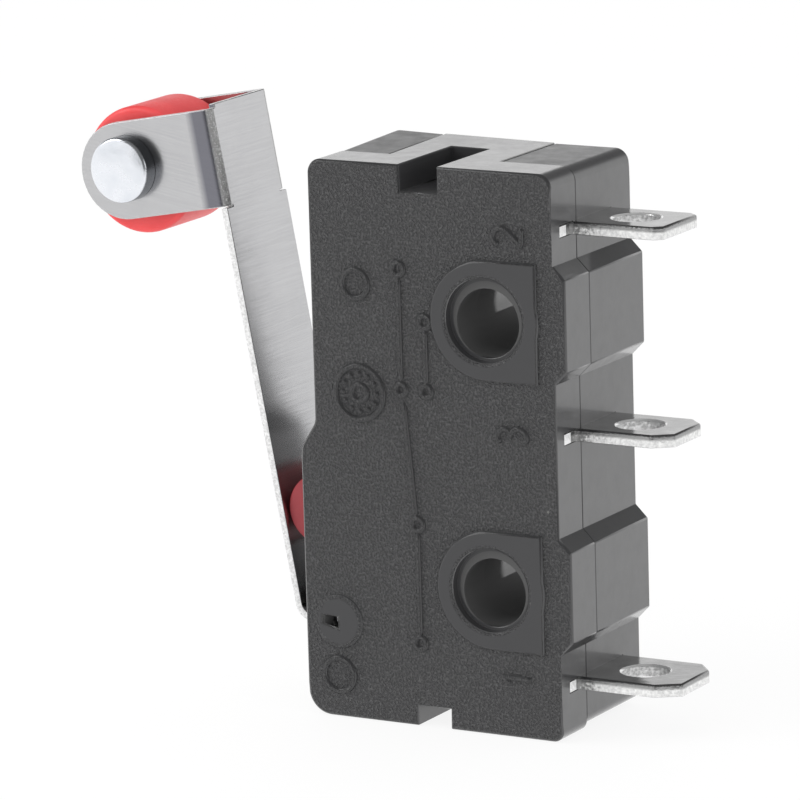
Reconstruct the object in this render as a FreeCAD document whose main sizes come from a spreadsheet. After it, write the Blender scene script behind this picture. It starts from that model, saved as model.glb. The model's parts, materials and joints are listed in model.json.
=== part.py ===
import FreeCAD, Part
import math
import os

import Sketcher

# Roller lever snap switch, in millimetres.
# The origin is the centre of the lower mounting hole, halfway through the case.
# +Z runs up the long side of the case, +X points out along the terminals, -Y is the cover side.

Vector = FreeCAD.Vector
doc = FreeCAD.newDocument("roller_lever_switch")
sheet = doc.addObject("Spreadsheet::Sheet", "sizes")


class Size:
    """A length or an angle that knows its number and the sheet formula that gives it."""

    def __init__(self, number, formula):
        self.number = number
        self.formula = formula

    def __add__(self, other):
        other = as_size(other)
        return Size(self.number + other.number, f"({self.formula} + {other.formula})")

    def __radd__(self, other):
        return as_size(other) + self

    def __sub__(self, other):
        other = as_size(other)
        return Size(self.number - other.number, f"({self.formula} - {other.formula})")

    def __rsub__(self, other):
        return as_size(other) - self

    def __mul__(self, other):
        other = as_size(other)
        return Size(self.number * other.number, f"({self.formula} * {other.formula})")

    def __rmul__(self, other):
        return as_size(other) * self

    def __truediv__(self, other):
        other = as_size(other)
        return Size(self.number / other.number, f"({self.formula} / {other.formula})")

    def __neg__(self):
        return Size(-self.number, f"(-{self.formula})")


def as_size(value):
    return value if isinstance(value, Size) else Size(value, str(value))


def sine(angle):
    return Size(math.sin(math.radians(angle.number)), f"sin({angle.formula})")


def cosine(angle):
    return Size(math.cos(math.radians(angle.number)), f"cos({angle.formula})")


sheet_rows = []


def size(alias, number, words):
    """Write one driving dimension into the sheet and return it."""
    sheet_rows.append(alias)
    row = len(sheet_rows)
    sheet.set(f"A{row}", words)
    sheet.set(f"B{row}", str(number))
    sheet.setAlias(f"B{row}", alias)
    return Size(number, f"sizes.{alias}")


# Case
case_width = size("case_width", 10.15, "plateau face to terminal face")
case_depth = size("case_depth", 5.8, "cover face to back face")
hole_from_plateau = size("hole_from_plateau", 7.47, "mounting holes from the plateau face")
hole_from_end = size("hole_from_end", 5.17, "lower mounting hole from the lower end face")
hole_from_top = size("hole_from_top", 5.13, "upper mounting hole from the upper end face")
hole_pitch = size("hole_pitch", 9.5, "between the mounting holes")
hole_radius = size("hole_radius", 1.27, "mounting hole")
cover_depth = size("cover_depth", 1.8, "front face to the parting line")
floor_wall = size("floor_wall", 0.9, "wall of the front and back faces")
end_wall = size("end_wall", 1.4, "wall at the two ends")
terminal_wall = size("terminal_wall", 1.0, "wall that the terminals pass through")
lever_wall = size("lever_wall", 0.75, "wall behind the set-back lever side")
setback = size("setback", 0.6, "lever side set back above the plateau")
shoulder_from_end = size("shoulder_from_end", 9.6, "plateau's upper end from the end face")
shoulder_run = size("shoulder_run", 0.95, "height of the slope above the plateau")
shoulder_round = size("shoulder_round", 0.6, "rounding of that slope")
land_rise = size("land_rise", 0.46, "lands over the mounting holes")
land_half = size("land_half", 1.6, "half of a land's flat height")
corner_round = size("corner_round", 0.5, "upper lever-side corner")
heel_round = size("heel_round", 0.9, "lower lever-side corner")
toe_round = size("toe_round", 0.4, "lower terminal-side corner")
brow_round = size("brow_round", 0.5, "upper terminal-side corner")
bottom_inset = size("bottom_inset", 0.16, "housing's lower end inside the cover's")
top_inset = size("top_inset", 0.03, "housing's upper end inside the cover's")
boss_radius = size("boss_radius", 1.9, "posts round the mounting holes, inside")
joint_gap = size("joint_gap", 0.03, "gap round fitted pieces")

# Cover detail
tongue_from_plateau = size("tongue_from_plateau", 2.85, "latch tongue's near side from the plateau")
tongue_width = size("tongue_width", 4.4, "latch tongue")
tongue_top = size("tongue_top", 0.85, "upper tongue's thickness")
tongue_bottom = size("tongue_bottom", 0.72, "lower tongue's thickness")
latch_length = size("latch_length", 0.6, "hook at the end of a tongue")
latch_rise = size("latch_rise", 0.2, "hook towards the housing")
slot_from_plateau = size("slot_from_plateau", 4.42, "slot in the tongue from the plateau")
slot_width = size("slot_width", 1.3, "slot in the tongue")
slot_length = size("slot_length", 3.85, "slot in the tongue from the front face")
raise_height = size("raise_height", 0.1, "raised pads and disc on the front face")
pad_radius = size("pad_radius", 2.12, "raised pad round a mounting hole")
pad_reach = size("pad_reach", 2.06, "raised pad's square side from the hole")
mouth_radius = size("mouth_radius", 1.45, "recess at the hole's mouth")
mouth_depth = size("mouth_depth", 0.2, "recess below the front face")
mouth_bevel = size("mouth_bevel", 0.18, "bevel round the recess")
disc_radius = size("disc_radius", 1.0, "raised disc over the lever's pivot")
disc_bevel = size("disc_bevel", 0.07, "bevel of that disc")
window_width = size("window_width", 0.3, "opening in the disc")
window_height = size("window_height", 0.55, "opening in the disc")
window_offset = size("window_offset", 0.22, "opening's centre from the pivot, to the lever side")

# Lever
pivot_from_plateau = size("pivot_from_plateau", 1.27, "lever pivot from the plateau face")
pivot_from_end = size("pivot_from_end", 3.47, "lever pivot from the end face")
lever_tilt = size("lever_tilt", 10.1, "free angle of the lever in degrees")
lever_sheet = size("lever_sheet", 0.25, "lever's sheet")
lever_offset = size("lever_offset", 2.14, "lever's outer face from the pivot")
lever_width = size("lever_width", 4.08, "lever strip")
lever_tail = size("lever_tail", 0.3, "foot beyond the pivot")
foot_bend = size("foot_bend", 0.45, "inside radius of the foot's fold")
ear_bend = size("ear_bend", 0.1, "inside radius of the ears' folds")
trunnion_half = size("trunnion_half", 0.3, "half width of a trunnion tab")
trunnion_length = size("trunnion_length", 0.42, "trunnion tab beyond the strip")
socket_radius = size("socket_radius", 0.39, "socket round a trunnion tab")
side_gap = size("side_gap", 0.1, "gap beside the lever's foot")
sweep_gap = size("sweep_gap", 0.42, "room above and below the foot in its slot")
pin_out = size("pin_out", 5.58, "pin from the pivot, outwards")
pin_up = size("pin_up", 16.67, "pin from the pivot, along the strip")
ear_below = size("ear_below", 1.79, "ears' lower edge below the pin")
ear_above = size("ear_above", 1.69, "front ear's upper edge above the pin")
crest_above = size("crest_above", 1.83, "upper edge of the strip and the rear ear above the pin")
ear_beyond = size("ear_beyond", 0.33, "centre of the ears' round end beyond the pin")
relief = size("relief", 0.05, "relief cut at the end of an ear's fold")
relief_depth = size("relief_depth", 0.42, "relief cuts into the strip")
pin_radius = size("pin_radius", 0.55, "pin's shank")
pin_fit = size("pin_fit", 0.02, "gap between pin and ear")
roller_fit = size("roller_fit", 0.1, "gap between pin and roller")
roller_slack_in = size("roller_slack_in", 0.04, "roller hangs towards the strip")
roller_slack_down = size("roller_slack_down", 0.057, "roller hangs towards the pivot")
head_radius = size("head_radius", 1.17, "pin's head")
head_height = size("head_height", 0.75, "pin's head")
head_bevel = size("head_bevel", 0.14, "bevel of the pin's head")
rivet_radius = size("rivet_radius", 0.9, "pin's riveted end")
rivet_height = size("rivet_height", 0.35, "pin's riveted end")
roller_radius = size("roller_radius", 2.28, "roller")
roller_width = size("roller_width", 3.1, "roller")
roller_round = size("roller_round", 0.18, "roller's edges")

# Plunger
plunger_from_end = size("plunger_from_end", 7.1, "plunger's middle from the end face")
plunger_round = size("plunger_round", 1.28, "crown radius and half height")
plunger_half = size("plunger_half", 1.78, "half width of the plunger")
plunger_centre = size("plunger_centre", 0.055, "centre of the crown from the plateau")
plunger_fit = size("plunger_fit", 0.05, "gap round the plunger")
flange_rise = size("flange_rise", 0.3, "flange beyond the plunger's sides")
flange_length = size("flange_length", 0.4, "flange")
prong_length = size("prong_length", 0.5, "prongs beyond the flange")
prong_height = size("prong_height", 0.9, "prongs")
groove_half = size("groove_half", 0.7, "half width of the groove between the prongs")
groove_depth = size("groove_depth", 0.55, "groove below the flange's face")

# Terminals
first_terminal = size("first_terminal", 1.85, "common terminal's middle from the end face")
first_pitch = size("first_pitch", 8.75, "common terminal to the normally open one")
last_terminal = size("last_terminal", 1.97, "normally closed terminal's middle from the upper end face")
terminal_sheet = size("terminal_sheet", 0.45, "terminals")
sheet_bend = size("sheet_bend", 0.2, "inside radius of the terminals' folds")
common_width = size("common_width", 3.3, "common blade")
common_reach = size("common_reach", 3.75, "common blade beyond the terminal face")
common_near_run = size("common_near_run", 0.85, "common tip's cover-side corner, along the blade")
common_near_cut = size("common_near_cut", 0.55, "that corner, across the blade")
common_far_run = size("common_far_run", 0.6, "common tip's back corner, along the blade")
common_far_cut = size("common_far_cut", 0.7, "that corner, across the blade")
open_width = size("open_width", 2.95, "normally open blade")
open_reach = size("open_reach", 3.6, "normally open blade beyond the terminal face")
open_near_run = size("open_near_run", 0.7, "normally open tip's cover-side corner, along the blade")
open_near_cut = size("open_near_cut", 0.5, "that corner, across the blade")
open_far_run = size("open_far_run", 0.55, "normally open tip's back corner, along the blade")
open_far_cut = size("open_far_cut", 0.55, "that corner, across the blade")
closed_width = size("closed_width", 2.95, "normally closed blade")
closed_reach = size("closed_reach", 3.45, "normally closed blade beyond the terminal face")
closed_near_run = size("closed_near_run", 0.3, "normally closed tip's cover-side corner, along the blade")
closed_near_cut = size("closed_near_cut", 0.25, "that corner, across the blade")
closed_far_run = size("closed_far_run", 0.3, "normally closed tip's back corner, along the blade")
closed_far_cut = size("closed_far_cut", 0.25, "that corner, across the blade")
wire_hole_radius = size("wire_hole_radius", 0.82, "wire hole")
wire_hole_out = size("wire_hole_out", 1.75, "wire hole beyond the terminal face")
shoulder_reach = size("shoulder_reach", 2.28, "terminal's cover-side shoulder from the middle")
shoulder_depth = size("shoulder_depth", 0.22, "that shoulder behind the terminal face")
root_round = size("root_round", 0.15, "corner between that shoulder and the blade")
inner_width = size("inner_width", 2.8, "terminals inside the case")
slot_sag = size("slot_sag", 0.1, "cover's slots below the terminals")
slot_spare = size("slot_spare", 0.12, "cover's slots beyond the shoulders")

# Contact set
wall_gap = size("wall_gap", 0.05, "gap between the closed contact's plate and the wall")
contact_radius = size("contact_radius", 0.75, "contact heads")
contact_height = size("contact_height", 0.4, "contact heads")
contact_dome = size("contact_dome", 0.12, "rounding of the contact heads")
contact_shank = size("contact_shank", 0.4, "contact shanks")
contact_from_top = size("contact_from_top", 5.58, "contacts from the upper end face")
contact_travel = size("contact_travel", 0.6, "moving contact's travel")
rest_gap = size("rest_gap", 0.04, "gap at a closed contact")
plate_margin = size("plate_margin", 0.8, "contact plates beyond the contacts' middle")
arm_sheet = size("arm_sheet", 0.2, "contact arm")
arm_width = size("arm_width", 2.8, "contact arm")
arm_window = size("arm_window", 1.4, "opening in the arm for the spring")
arm_window_foot = size("arm_window_foot", 2.1, "opening's lower end from the arm's foot")
arm_bridge = size("arm_bridge", 2.8, "arm between the opening and the contact's middle")
notch_depth = size("notch_depth", 0.15, "notch under the arm's foot")
notch_half = size("notch_half", 0.25, "half width of that notch")
foot_gap = size("foot_gap", 0.04, "gap under the arm's foot")
lug_from_arm = size("lug_from_arm", 0.5, "spring lug from the arm")
lug_sheet = size("lug_sheet", 0.4, "spring lug")
lug_width = size("lug_width", 0.7, "spring lug")
lug_height = size("lug_height", 1.6, "spring lug above the terminal")
spring_radius = size("spring_radius", 0.36, "coil to the wire's middle")
spring_wire = size("spring_wire", 0.09, "wire radius")
spring_turns = size("spring_turns", 6, "turns")
spring_end_gap = size("spring_end_gap", 0.35, "coil's ends from their anchors")

# Places that follow from those sizes
plateau = -hole_from_plateau
setback_face = plateau + setback
terminal_face = plateau + case_width
land_face = terminal_face + land_rise
bottom = -hole_from_end
top = hole_pitch + hole_from_top
front = -case_depth / 2
back = case_depth / 2
parting = front + cover_depth
cavity_left = setback_face + lever_wall
cavity_right = terminal_face - terminal_wall
cavity_bottom = bottom + end_wall
cavity_top = top - end_wall
cavity_front = front + floor_wall
cavity_back = back - floor_wall
hole_heights = [as_size(0), hole_pitch]
tongue_left = plateau + tongue_from_plateau
tongue_right = tongue_left + tongue_width
slot_left = plateau + slot_from_plateau
slot_right = slot_left + slot_width
pivot_x = plateau + pivot_from_plateau
pivot_z = bottom + pivot_from_end
plunger_x = plateau + plunger_centre
ear_low = pin_up - ear_below
ear_high = pin_up + ear_above
lever_crest = pin_up + crest_above
ear_centre = pin_out + ear_beyond
plunger_z = bottom + plunger_from_end
common_z = bottom + first_terminal
open_z = common_z + first_pitch
closed_z = top - last_terminal
contact_z = top - contact_from_top
closed_plate_left = cavity_left + wall_gap
closed_plate_right = closed_plate_left + terminal_sheet
closed_face = closed_plate_right + contact_height
arm_left = closed_face + rest_gap + contact_height
arm_right = arm_left + arm_sheet
arm_x = arm_left + arm_sheet / 2
arm_foot = common_z + terminal_sheet / 2 - notch_depth + foot_gap
open_face = arm_right + contact_height + contact_travel + rest_gap
open_plate_left = open_face + contact_height
open_plate_right = open_plate_left + terminal_sheet
lug_right = arm_left - lug_from_arm
lug_left = lug_right - lug_sheet
OVERCUT = 1.0
ROOT = 0.1
WIRE_SIDES = 6


def bind(thing, path, value):
    """Tie a property of a document object to the sheet."""
    thing.setExpression(path, as_size(value).formula)


def box(left, low, right, high):
    """A rectangle as the corner list of a polygon."""
    return [(left, low), (right, low), (right, high), (left, high)]


class Circle:
    """A circle in a sketch."""

    def __init__(self, across, up, radius):
        self.across = as_size(across)
        self.up = as_size(up)
        self.radius = as_size(radius)


def fix_point(sketch, curve, point, across, up):
    """Hold one sketch point at a place given by two sizes."""
    for kind, place in (("DistanceX", as_size(across)), ("DistanceY", as_size(up))):
        rule = Sketcher.Constraint(kind, -1, 1, curve, point, place.number)
        index = sketch.addConstraint(rule)
        sketch.setExpression(f"Constraints[{index}]", place.formula)


def draw(sketch, outline):
    """Draw a circle or a closed polygon whose every corner is held by sizes."""
    if isinstance(outline, Circle):
        middle = Vector(outline.across.number, outline.up.number, 0)
        curve = sketch.addGeometry(Part.Circle(middle, Vector(0, 0, 1), outline.radius.number))
        fix_point(sketch, curve, 3, outline.across, outline.up)
        index = sketch.addConstraint(Sketcher.Constraint("Radius", curve, outline.radius.number))
        sketch.setExpression(f"Constraints[{index}]", outline.radius.formula)
        return
    corners = [Vector(as_size(a).number, as_size(b).number, 0) for a, b in outline]
    count = len(corners)
    first = sketch.GeometryCount
    for i in range(count):
        sketch.addGeometry(Part.LineSegment(corners[i], corners[(i + 1) % count]))
    for i in range(count):
        sketch.addConstraint(Sketcher.Constraint("Coincident", first + i, 2, first + (i + 1) % count, 1))
    for i, (across, up) in enumerate(outline):
        fix_point(sketch, first + i, 1, across, up)


class Piece:
    """One body of the document, built feature by feature."""

    # sketch plane role, sign of its normal along the plane's own axis
    PLANES = {"X": ("YZ_Plane", 1), "Y": ("XZ_Plane", -1), "Z": ("XY_Plane", 1)}

    def __init__(self, name):
        self.body = doc.addObject("PartDesign::Body", name)
        self.body.Label = name

    def sketch(self, name, axis, place, outlines):
        role, sign = self.PLANES[axis]
        plane = [o for o in self.body.Origin.OriginFeatures if o.Role == role][0]
        sketch = self.body.newObject("Sketcher::SketchObject", name + "_sketch")
        sketch.AttachmentSupport = (plane, [""])
        sketch.MapMode = "FlatFace"
        shift = as_size(place) * sign
        sketch.AttachmentOffset = FreeCAD.Placement(Vector(0, 0, shift.number), FreeCAD.Rotation())
        bind(sketch, ".AttachmentOffset.Base.z", shift)
        for outline in outlines:
            draw(sketch, outline)
        return sketch

    def pad(self, name, axis, low, high, *outlines):
        """Add material between two places along an axis."""
        sketch = self.sketch(name, axis, low, outlines)
        feature = self.body.newObject("PartDesign::Pad", name)
        feature.Profile = sketch
        feature.Reversed = self.PLANES[axis][1] < 0
        return self.extrude(feature, low, high)

    def pocket(self, name, axis, low, high, *outlines):
        """Remove material between two places along an axis."""
        sketch = self.sketch(name, axis, low, outlines)
        before = self.body.Shape.Volume
        feature = self.body.newObject("PartDesign::Pocket", name)
        feature.Profile = sketch
        feature.Reversed = self.PLANES[axis][1] > 0
        self.extrude(feature, low, high)
        if self.body.Shape.Volume >= before:
            raise RuntimeError(f"{name} cuts nothing")
        return feature

    def extrude(self, feature, low, high):
        length = as_size(high) - as_size(low)
        feature.Length = length.number
        bind(feature, "Length", length)
        doc.recompute()
        return feature

    def revolve(self, name, axis, place, reference, outline):
        """Turn a closed outline about one of its sketch's own axes."""
        sketch = self.sketch(name, axis, place, [outline])
        feature = self.body.newObject("PartDesign::Revolution", name)
        feature.Profile = sketch
        feature.ReferenceAxis = (sketch, [reference])
        feature.Angle = 360
        doc.recompute()
        return feature

    def dress(self, kind, name, edges, amount):
        """Round or bevel edges of the present tip."""
        base = self.body.Tip
        feature = self.body.newObject(f"PartDesign::{kind}", name)
        feature.Base = (base, edges)
        path = "Radius" if kind == "Fillet" else "Size"
        setattr(feature, path, amount.number)
        bind(feature, path, amount)
        doc.recompute()
        return feature

    def straight_edges(self, axis, spots, span=None):
        """Names of the edges along an axis that pass through the given spots."""
        keep = {"X": (1, 2), "Y": (0, 2), "Z": (0, 1)}[axis]
        along = "XYZ".index(axis)
        wanted = [(as_size(a).number, as_size(b).number) for a, b in spots]
        names = []
        for i, edge in enumerate(self.body.Tip.Shape.Edges, 1):
            if len(edge.Vertexes) != 2:
                continue
            start, end = (v.Point for v in edge.Vertexes)
            flat = all(abs(start[k] - end[k]) < 1e-5 for k in keep)
            near = any(all(abs(start[k] - w) < 1e-4 for k, w in zip(keep, spot)) for spot in wanted)
            if not (flat and near):
                continue
            middle = (start[along] + end[along]) / 2
            if span and not as_size(span[0]).number < middle < as_size(span[1]).number:
                continue
            names.append(f"Edge{i}")
        if not names:
            raise RuntimeError(f"no edge found in {self.body.Label}")
        return names

    def round_edges(self, axis, place, radius):
        """Names of the circular edges of one radius in a plane across an axis."""
        along = "XYZ".index(axis)
        names = []
        for i, edge in enumerate(self.body.Tip.Shape.Edges, 1):
            if not isinstance(edge.Curve, Part.Circle):
                continue
            level = abs(edge.Curve.Center[along] - as_size(place).number) < 1e-4
            if level and abs(edge.Curve.Radius - as_size(radius).number) < 1e-4:
                names.append(f"Edge{i}")
        if not names:
            raise RuntimeError(f"no round edge found in {self.body.Label}")
        return names

    def put(self, x, y, z, tilt=None):
        """Place the finished body, leaning out by the lever's tilt if asked."""
        turn = FreeCAD.Rotation(Vector(0, -1, 0), tilt.number if tilt else 0)
        place = Vector(*(as_size(v).number for v in (x, y, z)))
        self.body.Placement = FreeCAD.Placement(place, turn)
        for name, value in (("x", x), ("y", y), ("z", z)):
            bind(self.body, f".Placement.Base.{name}", value)
        if tilt:
            bind(self.body, ".Placement.Rotation.Angle", tilt)
        doc.recompute()


# Shared outlines of the case
def case_outline(low, high):
    corners = [(plateau, low), (terminal_face, low)]
    for height in hole_heights:
        corners.append((terminal_face, height - land_half - land_rise))
        corners.append((land_face, height - land_half))
        corners.append((land_face, height + land_half))
        corners.append((terminal_face, height + land_half + land_rise))
    corners.append((terminal_face, high))
    corners.append((setback_face, high))
    corners.append((setback_face, bottom + shoulder_from_end + shoulder_run))
    corners.append((plateau, bottom + shoulder_from_end))
    return corners


def round_case(piece, low, high):
    """Round the long edges that the cover and the housing share."""
    slope = [
        (plateau, bottom + shoulder_from_end),
        (setback_face, bottom + shoulder_from_end + shoulder_run),
    ]
    corner = [(setback_face, high)]
    heel = [(plateau, low)]
    toe = [(terminal_face, low)]
    brow = [(terminal_face, high)]
    piece.dress("Fillet", "slope_round", piece.straight_edges("Y", slope), shoulder_round)
    piece.dress("Fillet", "corner_rounding", piece.straight_edges("Y", corner), corner_round)
    piece.dress("Fillet", "heel_rounding", piece.straight_edges("Y", heel), heel_round)
    piece.dress("Fillet", "toe_rounding", piece.straight_edges("Y", toe), toe_round)
    piece.dress("Fillet", "brow_rounding", piece.straight_edges("Y", brow), brow_round)


cavity = box(cavity_left, cavity_bottom, cavity_right, cavity_top)
bosses = [Circle(0, height, boss_radius) for height in hole_heights]
bores = [Circle(0, height, hole_radius) for height in hole_heights]
terminal_slot_half = terminal_sheet / 2 + joint_gap
blades_in_wall = [
    ("common_slot", common_z, common_width),
    ("open_slot", open_z, open_width),
    ("closed_slot", closed_z, closed_width),
]


def terminal_slot(height, sag):
    """Slot for one terminal through the case's wall, with extra room below it."""
    low = height - terminal_slot_half - sag
    return box(cavity_right - ROOT, low, land_face + OVERCUT, height + terminal_slot_half)


plunger_slot = box(
    plateau - OVERCUT,
    plunger_z - plunger_round - plunger_fit,
    cavity_left + ROOT,
    plunger_z + plunger_round + plunger_fit,
)
lever_slot = box(
    plateau - OVERCUT,
    pivot_z - lever_sheet / 2 - sweep_gap,
    pivot_x + lever_tail + side_gap,
    pivot_z + lever_sheet / 2 + sweep_gap,
)
lever_room = lever_width / 2 + side_gap
plunger_room = plunger_half + plunger_fit
shoulder_room = shoulder_reach + slot_spare
socket = Circle(pivot_x, pivot_z, socket_radius)
socket_reach = lever_width / 2 + trunnion_length + side_gap


def make_housing():
    """Rear part of the case: an open tray with posts round the mounting holes."""
    piece = Piece("base_housing")
    low = bottom + bottom_inset
    high = top - top_inset
    piece.pad("block", "Y", parting, back, case_outline(low, high))
    round_case(piece, low, high)
    piece.pocket("inside", "Y", parting, cavity_back, cavity)
    piece.pad("posts", "Y", parting, cavity_back + ROOT, *bosses)
    piece.pocket("mounting_holes", "Y", parting, back, *bores)
    left = tongue_left - joint_gap
    right = tongue_right + joint_gap
    upper_seat = top - tongue_top - joint_gap
    lower_seat = bottom + tongue_bottom + joint_gap
    upper = box(left, upper_seat, right, top + OVERCUT)
    lower = box(left, bottom - OVERCUT, right, lower_seat)
    piece.pocket("tongue_seats", "Y", parting, back, upper, lower)
    upper_latch = box(left, upper_seat - latch_rise, right, upper_seat + ROOT)
    lower_latch = box(left, lower_seat - ROOT, right, lower_seat + latch_rise)
    piece.pocket("latch_seats", "Y", back - latch_length - joint_gap, back, upper_latch, lower_latch)
    for name, height, width in blades_in_wall:
        piece.pocket(name, "Y", parting, width / 2 + joint_gap, terminal_slot(height, as_size(0)))
    piece.pocket("plunger_slot", "Y", parting, plunger_room, plunger_slot)
    piece.pocket("lever_slot", "Y", parting, lever_room, lever_slot)
    piece.pocket("socket", "Y", lever_room, socket_reach, socket)
    return piece


def make_cover():
    """Front part of the case, with a latch tongue over each end of the housing."""
    piece = Piece("front_cover")
    piece.pad("block", "Y", front, parting, case_outline(bottom, top))
    round_case(piece, bottom, top)
    piece.pocket("inside", "Y", cavity_front, parting, cavity)
    piece.pad("posts", "Y", cavity_front - ROOT, parting, *bosses)
    upper = box(tongue_left, top - tongue_top, tongue_right, top)
    lower = box(tongue_left, bottom, tongue_right, bottom + tongue_bottom)
    piece.pad("tongues", "Y", parting - ROOT, back, upper, lower)
    upper_latch = box(tongue_left, top - tongue_top - latch_rise, tongue_right, top - ROOT)
    lower_latch = box(tongue_left, bottom + ROOT, tongue_right, bottom + tongue_bottom + latch_rise)
    piece.pad("latches", "Y", back - latch_length, back, upper_latch, lower_latch)
    raised = front - raise_height
    rounds = [Circle(0, height, pad_radius) for height in hole_heights]
    piece.pad("round_pads", "Y", raised, front, *rounds)
    squares = [box(0, height - pad_radius, pad_reach, height + pad_radius) for height in hole_heights]
    piece.pad("square_pads", "Y", raised, front, *squares)
    piece.pad("disc", "Y", raised, front, Circle(pivot_x, pivot_z, disc_radius))
    piece.dress("Chamfer", "disc_edge", piece.round_edges("Y", raised, disc_radius), disc_bevel)
    piece.pocket("mounting_holes", "Y", raised, parting, *bores)
    mouths = [Circle(0, height, mouth_radius) for height in hole_heights]
    piece.pocket("mouths", "Y", raised, front + mouth_depth, *mouths)
    piece.dress("Chamfer", "mouth_edges", piece.round_edges("Y", raised, mouth_radius), mouth_bevel)
    upper_slot = box(slot_left, top - tongue_top, slot_right, top + OVERCUT)
    lower_slot = box(slot_left, bottom - OVERCUT, slot_right, bottom + tongue_bottom)
    piece.pocket("tongue_slots", "Y", raised, front + slot_length, upper_slot, lower_slot)
    slots = [terminal_slot(height, slot_sag) for name, height, width in blades_in_wall]
    piece.pocket("terminal_slots", "Y", -shoulder_room, parting, *slots)
    piece.pocket("plunger_slot", "Y", -plunger_room, parting, plunger_slot)
    piece.pocket("lever_slot", "Y", -lever_room, parting, lever_slot)
    piece.pocket("socket", "Y", -socket_reach, -lever_room, socket)
    window = box(
        pivot_x - window_offset - window_width / 2,
        pivot_z - window_height / 2,
        pivot_x - window_offset + window_width / 2,
        pivot_z + window_height / 2,
    )
    piece.pocket("window", "Y", raised, -socket_reach, window)
    return piece


def make_lever():
    """Folded strip, drawn upright about its pivot with the outside towards -X."""
    piece = Piece("lever")
    half = lever_width / 2
    outer = -lever_offset
    inner = outer + lever_sheet
    low = -lever_sheet / 2
    high = lever_sheet / 2
    foot_bend_outer = foot_bend + lever_sheet
    ear_bend_outer = ear_bend + lever_sheet
    piece.pad("strip", "Y", -half, half, box(outer, low, inner, lever_crest))
    piece.pad("foot", "Y", -half, half, box(outer, low, lever_tail, high))
    piece.dress("Fillet", "foot_fold", piece.straight_edges("Y", [(inner, high)]), foot_bend)
    piece.dress("Fillet", "foot_fold_outside", piece.straight_edges("Y", [(outer, low)]), foot_bend_outer)
    reach = half + trunnion_length
    piece.pad("trunnions", "Y", -reach, reach, box(-trunnion_half, low, trunnion_half, high))
    ears = [
        ("front_ear", -half, -half + lever_sheet, ear_high),
        ("rear_ear", half - lever_sheet, half, lever_crest),
    ]
    for name, near, far, crest in ears:
        piece.pad(name, "Y", near, far, box(-ear_centre, ear_low, inner, crest))
        end = Circle(-ear_centre, (ear_low + crest) / 2, (crest - ear_low) / 2)
        piece.pad(name + "_end", "Y", near, far, end)
    front_cut = box(outer - ROOT, -half - ROOT, inner + ROOT, -half + relief_depth)
    rear_cut = box(outer - ROOT, half - relief_depth, inner + ROOT, half + ROOT)
    piece.pocket("lower_reliefs", "Z", ear_low - relief, ear_low, front_cut, rear_cut)
    piece.pocket("upper_relief", "Z", ear_high, lever_crest, front_cut)
    folds = (ear_low, ear_high)
    outside = piece.straight_edges("Z", [(inner, -half), (inner, half)], folds)
    piece.dress("Fillet", "ear_folds", outside, ear_bend_outer)
    inside_spots = [(outer, -half + lever_sheet), (outer, half - lever_sheet)]
    inside = piece.straight_edges("Z", inside_spots, folds)
    piece.dress("Fillet", "ear_folds_inside", inside, ear_bend)
    pin_hole = Circle(-pin_out, pin_up, pin_radius + pin_fit)
    piece.pocket("pin_holes", "Y", -half, half, pin_hole)
    piece.put(pivot_x, as_size(0), pivot_z, lever_tilt)
    return piece


def lever_place(out, up):
    """Place in the case of a point given by its distances from the pivot, out of and along the strip."""
    x = pivot_x - out * cosine(lever_tilt) - up * sine(lever_tilt)
    z = pivot_z + up * cosine(lever_tilt) - out * sine(lever_tilt)
    return x, z


def make_pin():
    """Headed pin, turned about Y, with its far end riveted over the rear ear."""
    piece = Piece("roller_pin")
    ear = lever_width / 2
    rivet_start = ear + pin_fit
    rivet_end = rivet_start + rivet_height
    head_start = -ear - pin_fit
    head_end = head_start - head_height
    outline = [
        (0, head_end),
        (head_radius - head_bevel, head_end),
        (head_radius, head_end + head_bevel),
        (head_radius, head_start),
        (pin_radius, head_start),
        (pin_radius, rivet_start),
        (rivet_radius, rivet_start),
        (rivet_radius, rivet_start + rivet_height / 3),
        (rivet_radius * 0.6, rivet_end),
        (0, rivet_end),
    ]
    piece.revolve("turned", "Z", 0, "V_Axis", outline)
    pin_x, pin_z = lever_place(pin_out, pin_up)
    piece.put(pin_x, as_size(0), pin_z, lever_tilt)
    return piece


def make_roller():
    """Plain roller with rounded edges and a through bore."""
    piece = Piece("roller")
    bore = pin_radius + roller_fit
    outline = box(bore, -roller_width / 2, roller_radius, roller_width / 2)
    piece.revolve("turned", "Z", 0, "V_Axis", outline)
    for side in (-roller_width / 2, roller_width / 2):
        edges = piece.round_edges("Y", side, roller_radius)
        piece.dress("Fillet", "edge_round", edges, roller_round)
    roller_x, roller_z = lever_place(pin_out - roller_slack_in, pin_up - roller_slack_down)
    piece.put(roller_x, as_size(0), roller_z, lever_tilt)
    return piece


def make_plunger():
    """Round-nosed bar with a flange inside the wall and two prongs for the arm."""
    piece = Piece("plunger")
    low = plunger_z - plunger_round
    high = plunger_z + plunger_round
    flange_start = cavity_left + joint_gap
    flange_end = flange_start + flange_length
    piece.pad("bar", "Y", -plunger_half, plunger_half, box(plunger_x, low, flange_end, high))
    piece.pad("crown", "Y", -plunger_half, plunger_half, Circle(plunger_x, plunger_z, plunger_round))
    flange = box(flange_start, low - flange_rise, flange_end, high + flange_rise)
    piece.pad("flange", "Y", -plunger_half, plunger_half, flange)
    prongs = box(flange_end - ROOT, plunger_z, flange_end + prong_length, plunger_z + prong_height)
    piece.pad("prongs", "Y", -plunger_half, plunger_half, prongs)
    groove = box(
        flange_end - groove_depth, low - flange_rise - ROOT, flange_end + OVERCUT, high + flange_rise + ROOT
    )
    piece.pocket("groove", "Y", -groove_half, groove_half, groove)
    return piece


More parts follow.
